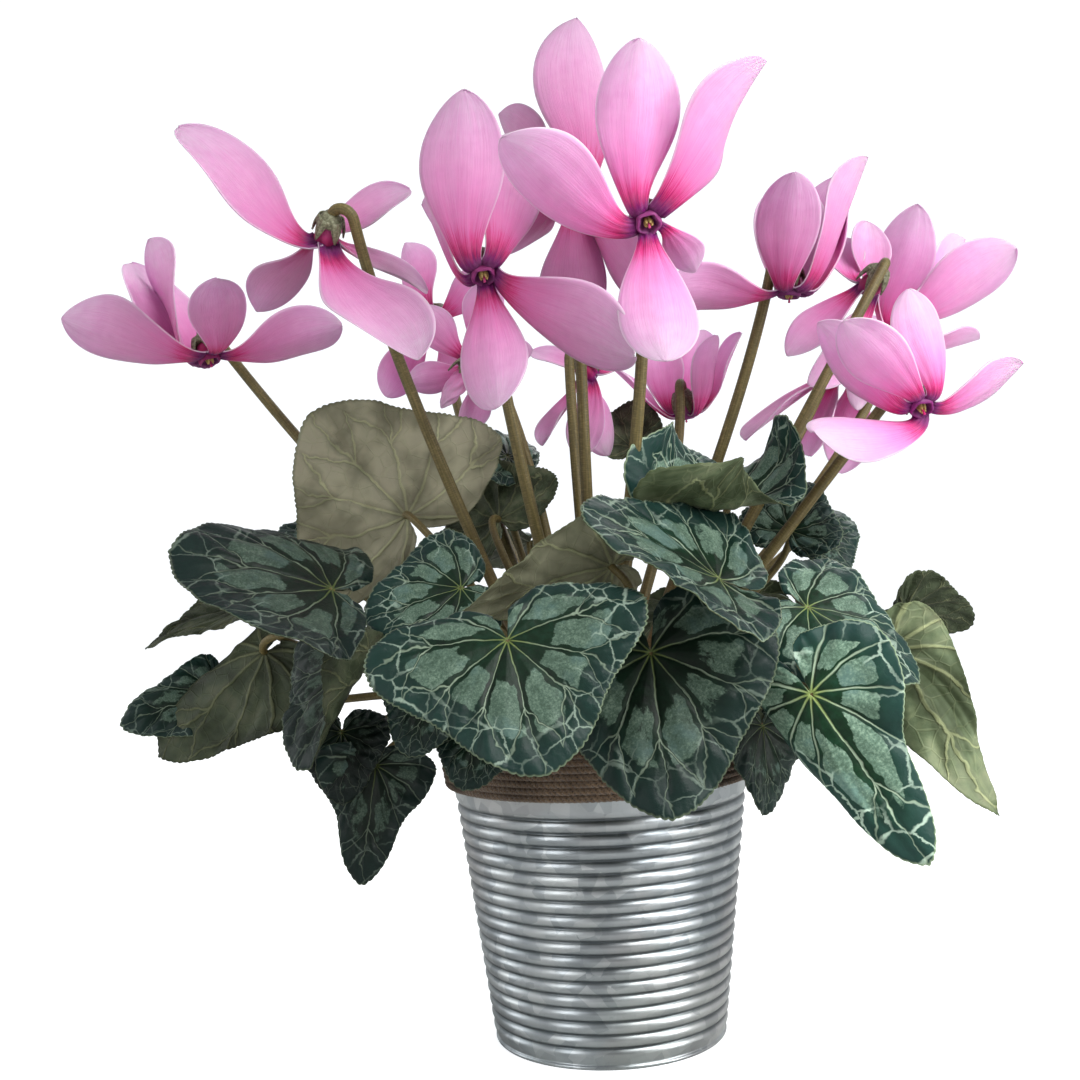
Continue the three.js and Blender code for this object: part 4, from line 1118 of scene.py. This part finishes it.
def place_roots():
    """Where each stem stands: on its ring, towards what it carries, apart from its neighbours."""
    roots = {}
    for ring, radius in enumerate(CROWN_RINGS):
        stems = [[angle, name] for name, (on, angle) in stems_wanted().items() if on == ring]
        stems.sort(key=lambda stem: stem[0])
        push_apart(stems, 2 * math.asin(STEM_SPACE / (2 * radius)))
        for angle, name in stems:
            height = TUBER_PROFILE[0][1] - STEM_DEPTH
            roots[name] = np.array([radius * math.cos(angle), radius * math.sin(angle), height])
    return roots


ROOTS = place_roots()


def add_stem(piece, path, radii, sides, red, seed):
    """A round stem with the numbers that its finish reads."""
    path = np.asarray(path, float)
    length = distances(path)
    share = length / length[-1]
    rings = swept(path, radii[0] + (radii[1] - radii[0]) * share, sides)
    angles = round_angles(sides)
    pattern = triple(2 * np.cos(angles), 2 * np.sin(angles), length[:, None] + 100 * seed)
    piece.tube(rings, FINISH["stalk"], pattern, triple(share[:, None], np.full(sides, red), seed))


def stem_foot(root):
    """The first two places of a stem, and where it comes out of its hole and begins to lean."""
    return [root, root + (0, 0, STEM_DEPTH)], root + (0, 0, STEM_DEPTH + STEM_RISE)


# ---------- leaves ----------


def bend(distance, reach, degrees):
    """A flat line bent into an arc that turns by the angle over the reach: place along, rise, angle there."""
    angle = np.radians(degrees) * distance / reach
    small = np.abs(angle) < 1e-6
    radius = distance / np.where(small, 1, angle)
    along = np.where(small, distance, radius * np.sin(angle))
    lift = np.where(small, 0, radius * (1 - np.cos(angle)))
    return along, lift, angle


def leaf_axes(one):
    along = unit(one["tip"])
    face = np.array(one["face"], float)
    up = unit(face - along * (face @ along))
    return np.cross(along, up), along, up


def vein_distance(x, y, share):
    """The distance of a blade's point from the nearest main vein, in shares of the length."""
    radius = np.hypot(x, y)
    angle = np.arctan2(x, y)
    bowed = angle + share * np.sin(angle) * VEIN_BOW
    spacing = math.radians(VEIN_SPACING)
    main = radius * np.abs((bowed + spacing / 2) % spacing - spacing / 2)
    branch = main
    for start, spread in FORKS:
        branch = np.abs(branch - np.maximum(radius - start, 0) * spread)
        main = np.minimum(main, branch)
    return main


def flat_blade(one, length, seed):
    """The flat blade by rows from hub to margin: sideways, ahead, share of the way to the margin, angle."""
    teeth = int(MARGIN_LENGTH * length * (one["wide"] + 0.35) / 1.25 / TOOTH_PITCH)
    columns = np.arange(teeth * TOOTH_STEPS + 1)
    degrees = np.linspace(MARGIN_ANGLES[-1], -MARGIN_ANGLES[-1], len(columns))[None, :]
    rows = max(LEAST_ROWS, int(BLADE_ROWS * min(1, length / FULL_BLADE)))
    share = (np.linspace(0.012, 1, rows) ** 0.92)[:, None]
    reach = np.interp(np.abs(degrees), MARGIN_ANGLES, MARGIN_SHARES)
    phase = columns % TOOTH_STEPS / TOOTH_STEPS
    size = 0.75 + 0.25 * np.sin(columns * 0.37 + 9 * seed)
    tooth = TOOTH_DEPTH / length * size * np.abs(np.sin(np.pi * (phase - 0.5)))
    lobed = 1 - one["lobe"] * (1 - np.cos(2 * np.pi * degrees / LOBE_PITCH))
    radius = length * lobed * (share * reach + tooth * share**12)
    turn = np.radians(degrees)
    x = radius * np.sin(turn) * one["wide"]
    y = radius * np.cos(turn) * np.where(np.abs(degrees) > 90, one["back"], 1)
    return x, y, share, turn


def blade_grid(one, seed):
    """The middle surface of a blade by rows from hub to margin, with its flat places and shares."""
    length = np.linalg.norm(one["tip"])
    x, y, share, turn = flat_blade(one, length, seed)
    level, lift, _ = bend(np.abs(x), 0.85 * length * one["wide"], np.where(x > 0, *one["sides"]))
    level = np.sign(x) * level
    height, count, start = one["wave"]
    lift += height * length * share**3 * np.sin(count * turn + start)
    lift += blade_relief(x / length, y / length, share, turn, length, seed)
    twist = np.radians(one["twist"]) * y / length
    sideways = level * np.cos(twist) - lift * np.sin(twist)
    above = level * np.sin(twist) + lift * np.cos(twist)
    reach = np.where(y > 0, length, BACK_REACH * length)
    ahead, rise, angle = bend(np.abs(y), reach, np.where(y > 0, *one["ends"]))
    ahead = np.sign(y) * (ahead - above * np.sin(angle))
    rise = rise + above * np.cos(angle)
    grid = np.array(one["hub"])
    for move, axis in zip((sideways, ahead, rise), leaf_axes(one)):
        grid = grid + move[..., None] * axis
    return grid, x / length, y / length, share


def blade_relief(x, y, share, turn, length, seed):
    """How far the blade stands above its smooth form: sunk veins, pillows between them, a rippled margin."""
    vein = vein_distance(x, y, share) * length
    pillow = 0.9 * (1 - np.exp(-((vein / 4.5) ** 2))) * ramp(share, 0.05, 0.3) * ramp(1.05 - share, 0, 0.4)
    groove = -0.4 * np.exp(-((vein / 1.1) ** 2)) * ramp(share, 0, 0.1)
    ripple = 0.8 * np.sin(7 * turn + 20 * seed) + 0.55 * np.sin(13 * turn + 31 * seed)
    pucker = 0.35 * np.sin(21 * turn + 12 * share + 9 * seed) * ramp(share, 0.3, 0.8)
    rolled = -0.9 * share**14
    return pillow + groove + ripple * share**4 * length / 60 + pucker + rolled


def petiole_path(one, root):
    hub = np.array(one["hub"], float)
    _, along, up = leaf_axes(one)
    span = np.linalg.norm(hub - root)
    arrival = unit(up + along * 0.35)
    below = hub - up * 2.5
    foot, mouth = stem_foot(root)
    first = mouth + (below - mouth) * 0.2 + (0, 0, span * one["lift"])
    curve = bezier(mouth, first, below - arrival * 0.3 * span, below, 26)
    return [*foot, *curve, hub - up * 1.0, hub]


def add_leaf(piece, name, one):
    seed = seed_of(name)
    grid, x, y, share = blade_grid(one, seed)
    thickness = BLADE * (1 - 0.55 * ramp(share, 0.7, 1))
    measure = triple(share, np.full(x.shape, one["silver"]), one["light"])
    piece.sheet(grid, thickness, FINISH["upper"], FINISH["under"], triple(x, y, seed), measure)
    root = ROOTS[one["joins"] or name]
    add_stem(piece, petiole_path(one, root), PETIOLE_RADII, PETIOLE_SIDES, 0.75, seed)


def leaves():
    pieces = {}
    for name, one in LEAVES.items():
        owner = one["joins"] or name
        if owner not in pieces:
            pieces[owner] = Piece(owner.replace("leaf", "blade"))
        add_leaf(pieces[owner], name, one)
    for owner, piece in pieces.items():
        piece.make([owner], "leaf")


# ---------- flowers ----------


def stalk_side(one):
    faces, rise = unit(one["faces"]), unit(one["rise"])
    return -unit(rise - faces * (rise @ faces))


def petal_slots(one):
    """The directions in which the petals leave the mouth, each for the petal whose tip lies nearest to it."""
    faces, side = unit(one["faces"]), stalk_side(one)
    other = np.cross(faces, side)
    tips = [np.array(petal[:3], float) for petal in one["petals"]]
    angles = [math.atan2(tip @ other, tip @ side) for tip in tips]
    order = sorted(range(5), key=lambda i: angles[i])
    slots = [math.radians(a) for a in (HANGING_SLOTS if one["hangs"] else PETAL_SLOTS)]

    def cost(shift):
        return -sum(math.cos(angles[petal] - slots[(k + shift) % 5]) for k, petal in enumerate(order))

    shift = min(range(5), key=cost)
    outs = [None] * 5
    for k, petal in enumerate(order):
        angle = slots[(k + shift) % 5]
        outs[petal] = side * math.cos(angle) + other * math.sin(angle)
    return outs


def petal_share(share):
    """A petal's width over its greatest, by the share of its length."""
    early = 0.25 + 0.75 * np.sin(np.pi / 2 * np.minimum(share / PETAL_WIDEST, 1)) ** 1.8
    beyond = np.maximum(share - PETAL_WIDEST, 0) / (1 - PETAL_WIDEST)
    late = np.maximum(1 - beyond**2.1, 0) ** 0.65
    return np.where(share < PETAL_WIDEST, early, late)


def petal_line(one, reach, length, out):
    """The middle line of a petal, which leaves the mouth outwards and turns back, and its points' shares."""
    mouth, faces = np.array(one["mouth"], float), unit(one["faces"])
    base = mouth + out * (MOUTH_RADIUS - 1.4) - faces * 1.5
    forward = max(0, reach @ faces / length)
    spread_out = MOUTH_RADIUS + 0.14 * length * (1 - forward)
    turn = mouth + out * spread_out + faces * (0.07 + 0.15 * forward) * length
    bow = unit(out - reach * (out @ reach) / length**2)
    late = mouth + reach - reach * 0.4 + bow * 0.05 * length
    line = bezier(base, turn, late, mouth + reach, 200)
    share = 1 - (1 - np.linspace(0, 1, PETAL_ROWS)) ** 1.25
    run = distances(line)
    return np.stack([np.interp(share * run[-1], run, line[:, i]) for i in range(3)], -1), share


def petal_relief(v, share, half, length, seed):
    """How far a row of a petal stands above its middle line: cup, crease, ripples, fluting, curl and fold."""
    cup = PETAL_CUP * half * v**2
    crease = -0.5 * np.exp(-((v * half / 2.2) ** 2)) * (1 - share)
    wave = np.sin(9 * share + 17 * seed + 1.4 * np.sign(v))
    ripple = 0.9 * np.abs(v) ** 3 * wave * ramp(share, 0.1, 0.5)
    fluting = 0.16 * np.cos(v * 14) * (1 - 0.6 * share)
    # one margin curls, up or down
    side = 1 if seed < 0.5 else -1
    curled = PETAL_CURL * math.sin(29 * seed)
    curl = curled * half * np.maximum(v * side, 0) ** 2 * ramp(share, 0.25, 0.85)
    fold = PETAL_FOLD * half * np.abs(v) * ramp(share, 0.3, 0.7)
    return cup + crease + ripple * length / 60 + fluting + curl + fold


def petal_grid(one, petal, out, seed):
    """The middle surface of a petal by rows from mouth to tip, its rows' shares, and its points' sides."""
    reach = np.array(petal[:3], float)
    length = np.linalg.norm(reach)
    centre, shares = petal_line(one, reach, length, out)
    sideways = np.cross(unit(one["faces"]), out)
    v = np.linspace(-1, 1, PETAL_COLUMNS)
    grid = np.empty((PETAL_ROWS, PETAL_COLUMNS, 3))
    for i, along in enumerate(unit(np.gradient(centre, axis=0))):
        share = shares[i]
        sideways = unit(sideways - along * (sideways @ along))
        angle = math.radians(petal[3]) * share
        level = sideways * math.cos(angle) + np.cross(along, sideways) * math.sin(angle)
        half = max(PETAL_WIDTH / 2 * length * petal_share(share), 0.5)
        skew = 1 + 0.07 * np.sin(3.1 * share + 20 * seed) * np.sign(v)
        height = petal_relief(v, share, half, length, seed)
        grid[i] = centre[i] + (v * half * skew)[:, None] * level + height[:, None] * np.cross(level, along)
    return grid, shares[:, None], v, length


def add_petal(piece, one, petal, out, seed):
    grid, share, across, length = petal_grid(one, petal, out, seed)
    pattern = np.broadcast_to([length, one["light"], seed], grid.shape)
    measure = triple(share, across, one["blush"])
    thickness = PETAL * (1 - 0.5 * ramp(share, 0.5, 1))
    piece.sheet(grid, thickness, FINISH["petal"], FINISH["petal"], pattern, measure)


def add_tube(piece, one, seed):
    """The short bowl of the corolla, its folded mouth, and the anthers and the style in it."""
    mouth, faces = one["mouth"], unit(one["faces"])
    pattern = (TUBE_LENGTH, one["light"], seed)

    def fluted(height, angle):
        return 0.28 * np.cos(5 * angle) * ramp(height, -7, 0)

    rings = placed(turned([row[:2] for row in TUBE_ROWS], TUBE_STEPS, fluted), mouth, faces)
    depth = np.array([row[2] for row in TUBE_ROWS])[:, None]
    piece.tube(rings, FINISH["petal"], pattern, triple(depth, np.zeros(TUBE_STEPS), one["blush"]))
    piece.tube(placed(turned(STYLE_PROFILE, 8), mouth, faces), FINISH["petal"], pattern, (0.12, 0, 0.5))
    for x, y, _ in circle(ANTHER_RING, 0, 5):
        anther = placed(turned(ANTHER_PROFILE, 8) + (x, y, 0), mouth, faces)
        piece.tube(anther, FINISH["anther"], anther)


def add_calyx(piece, one):
    """The cup of the calyx and its five pointed sepals, which lie on the corolla's tube."""
    mouth, faces = np.array(one["mouth"], float), unit(one["faces"])
    back = mouth - faces * TUBE_LENGTH
    rings = placed(turned(CUP_PROFILE, CUP_STEPS, lambda h, a: 0.25 * np.cos(5 * a)), back, faces)
    piece.tube(rings, FINISH["calyx"], rings, (0, 1, 0))
    t = np.linspace(0, 1, 9)[:, None]
    v = np.linspace(-1, 1, 7)[None, :]
    half = 2.6 * (1 - t**1.7) + 0.12
    radius = 5.0 + 1.5 * np.sin(t * 2.2) + 0.5 * t**6 - 0.5 * v**2
    height = -3.2 + 8.4 * t
    for k in range(5):
        angle = 2 * math.pi * (k + 0.5) / 5 + v * half / radius
        grid = placed(triple(radius * np.cos(angle), radius * np.sin(angle), height), back, faces)
        piece.sheet(grid, SEPAL, FINISH["calyx"], FINISH["calyx"], grid, triple(t, v, 0))


def stalk_path(one, root):
    """Up from the root, over in the hook, and on into the calyx."""
    faces, rise = unit(one["faces"]), unit(one["rise"])
    end = np.array(one["mouth"]) - faces * (TUBE_LENGTH + CALYX_LENGTH - 1)
    turn = math.acos(max(-1, min(1, faces @ rise)))
    angles = turn * (1 - np.linspace(0, 1, 12))[:, None]
    hook = end - faces * HOOK_RADIUS * np.sin(angles) + stalk_side(one) * HOOK_RADIUS * (1 - np.cos(angles))
    span = np.linalg.norm(hook[0] - root)
    foot, mouth = stem_foot(root)
    curve = bezier(mouth, mouth + (hook[0] - mouth) * 0.3, hook[0] - rise * 0.3 * span, hook[0], 30)
    return [*foot, *curve[:-1], *hook]


def flowers():
    for name, one in FLOWERS.items():
        seed = seed_of(name)
        piece = Piece("corolla_" + name)
        for i, (petal, out) in enumerate(zip(one["petals"], petal_slots(one))):
            add_petal(piece, one, petal, out, (seed + i * 0.37) % 1)
        add_tube(piece, one, seed)
        piece.make(["bloom_" + name], "petal")
        stalk(name, one, seed)


def stalk(name, one, seed):
    piece = Piece("stem_" + name)
    add_stem(piece, stalk_path(one, ROOTS[name]), STALK_RADII, STALK_SIDES, 0.3, seed)
    add_calyx(piece, one)
    piece.make(["stalk_" + name], "stalk")


def bud():
    """The closed petals, wound round each other."""

    def wound(height, angle):
        return 0.45 * np.cos(5 * (angle - height * 0.16)) * ramp(height, -8, -3) * ramp(14 - height, 0, 5)

    radii, heights = zip(*BUD_PROFILE)
    profile = [(np.interp(h, heights, radii), h) for h in np.linspace(heights[0], heights[-1], BUD_ROWS)]
    rings = placed(turned(profile, BUD_STEPS, wound), BUD["mouth"], BUD["faces"])
    along = np.linspace(0.05, 0.95, BUD_ROWS)[:, None]
    across = 0.8 * np.sin(5 * round_angles(BUD_STEPS))
    piece = Piece("bud_petals")
    piece.tube(rings, FINISH["petal"], (TUBE_LENGTH, BUD["light"], BUD_SEED), triple(along, across, 0.35))
    piece.make(["bud"], "petal")
    stalk("bud", BUD, BUD_SEED)


# ---------- camera, light and floor ----------


def camera():
    yaw, pitch, roll = (math.radians(a) for a in (CAMERA_YAW, CAMERA_PITCH, CAMERA_ROLL))
    ahead = np.array([math.sin(yaw) * math.cos(pitch), math.cos(yaw) * math.cos(pitch), math.sin(pitch)])
    right = np.array([math.cos(yaw), -math.sin(yaw), 0])
    up = np.cross(right, ahead)
    rolled_right = math.cos(roll) * right + math.sin(roll) * up
    rolled_up = -math.sin(roll) * right + math.cos(roll) * up
    data = bpy.data.cameras.new("camera")
    data.lens, data.sensor_width, data.clip_start = CAMERA_LENS, CAMERA_SENSOR, CAMERA_NEAR
    made = bpy.data.objects.new("camera", data)
    turn = Matrix([rolled_right, rolled_up, -ahead]).transposed()
    made.matrix_world = Matrix.Translation(CAMERA_PLACE) @ turn.to_4x4()
    bpy.context.scene.collection.objects.link(made)
    bpy.context.scene.camera = made


def lights():
    for name, (place, target, width, height, watts) in LIGHTS.items():
        data = bpy.data.lights.new(name, "AREA")
        data.shape, data.size, data.size_y, data.energy = "RECTANGLE", width, height, watts
        made = bpy.data.objects.new(name, data)
        made.location = place
        made.rotation_euler = (Vector(target) - Vector(place)).to_track_quat("-Z", "Y").to_euler()
        bpy.context.scene.collection.objects.link(made)


def sky():
    """A pale sky, darker on the camera's side, and one even backdrop where the camera sees it."""
    bpy.context.scene.view_settings.view_transform = "Standard"
    world = bpy.data.worlds.new("studio")
    world.use_nodes = True
    nodes = Nodes(world.node_tree)
    background = world.node_tree.nodes["Background"]
    set_inputs(background, Color=colour(SKY_COLOUR))
    ahead = nodes.parts(nodes.node("TexCoord").outputs["Generated"])[1].rise(-0.95, -0.2)
    strength = (ahead * (1 - SKY_BEHIND_CAMERA) + SKY_BEHIND_CAMERA) * SKY_STRENGTH
    nodes.join(strength + nodes.seen() * (BACKDROP - strength), background.inputs["Strength"])
    bpy.context.scene.world = world


def floor():
    mesh = bpy.data.meshes.new("floor")
    mesh.from_pydata(circle(FLOOR_RADIUS, 0, FLOOR_STEPS).tolist(), [], [list(range(FLOOR_STEPS))])
    mesh.materials.append(floor_finish())
    made = bpy.data.objects.new("floor", mesh)
    bpy.context.scene.collection.objects.link(made)


camera()
lights()
sky()
floor()
pot()
rope()
soil()
tuber()
leaves()
flowers()
bud()
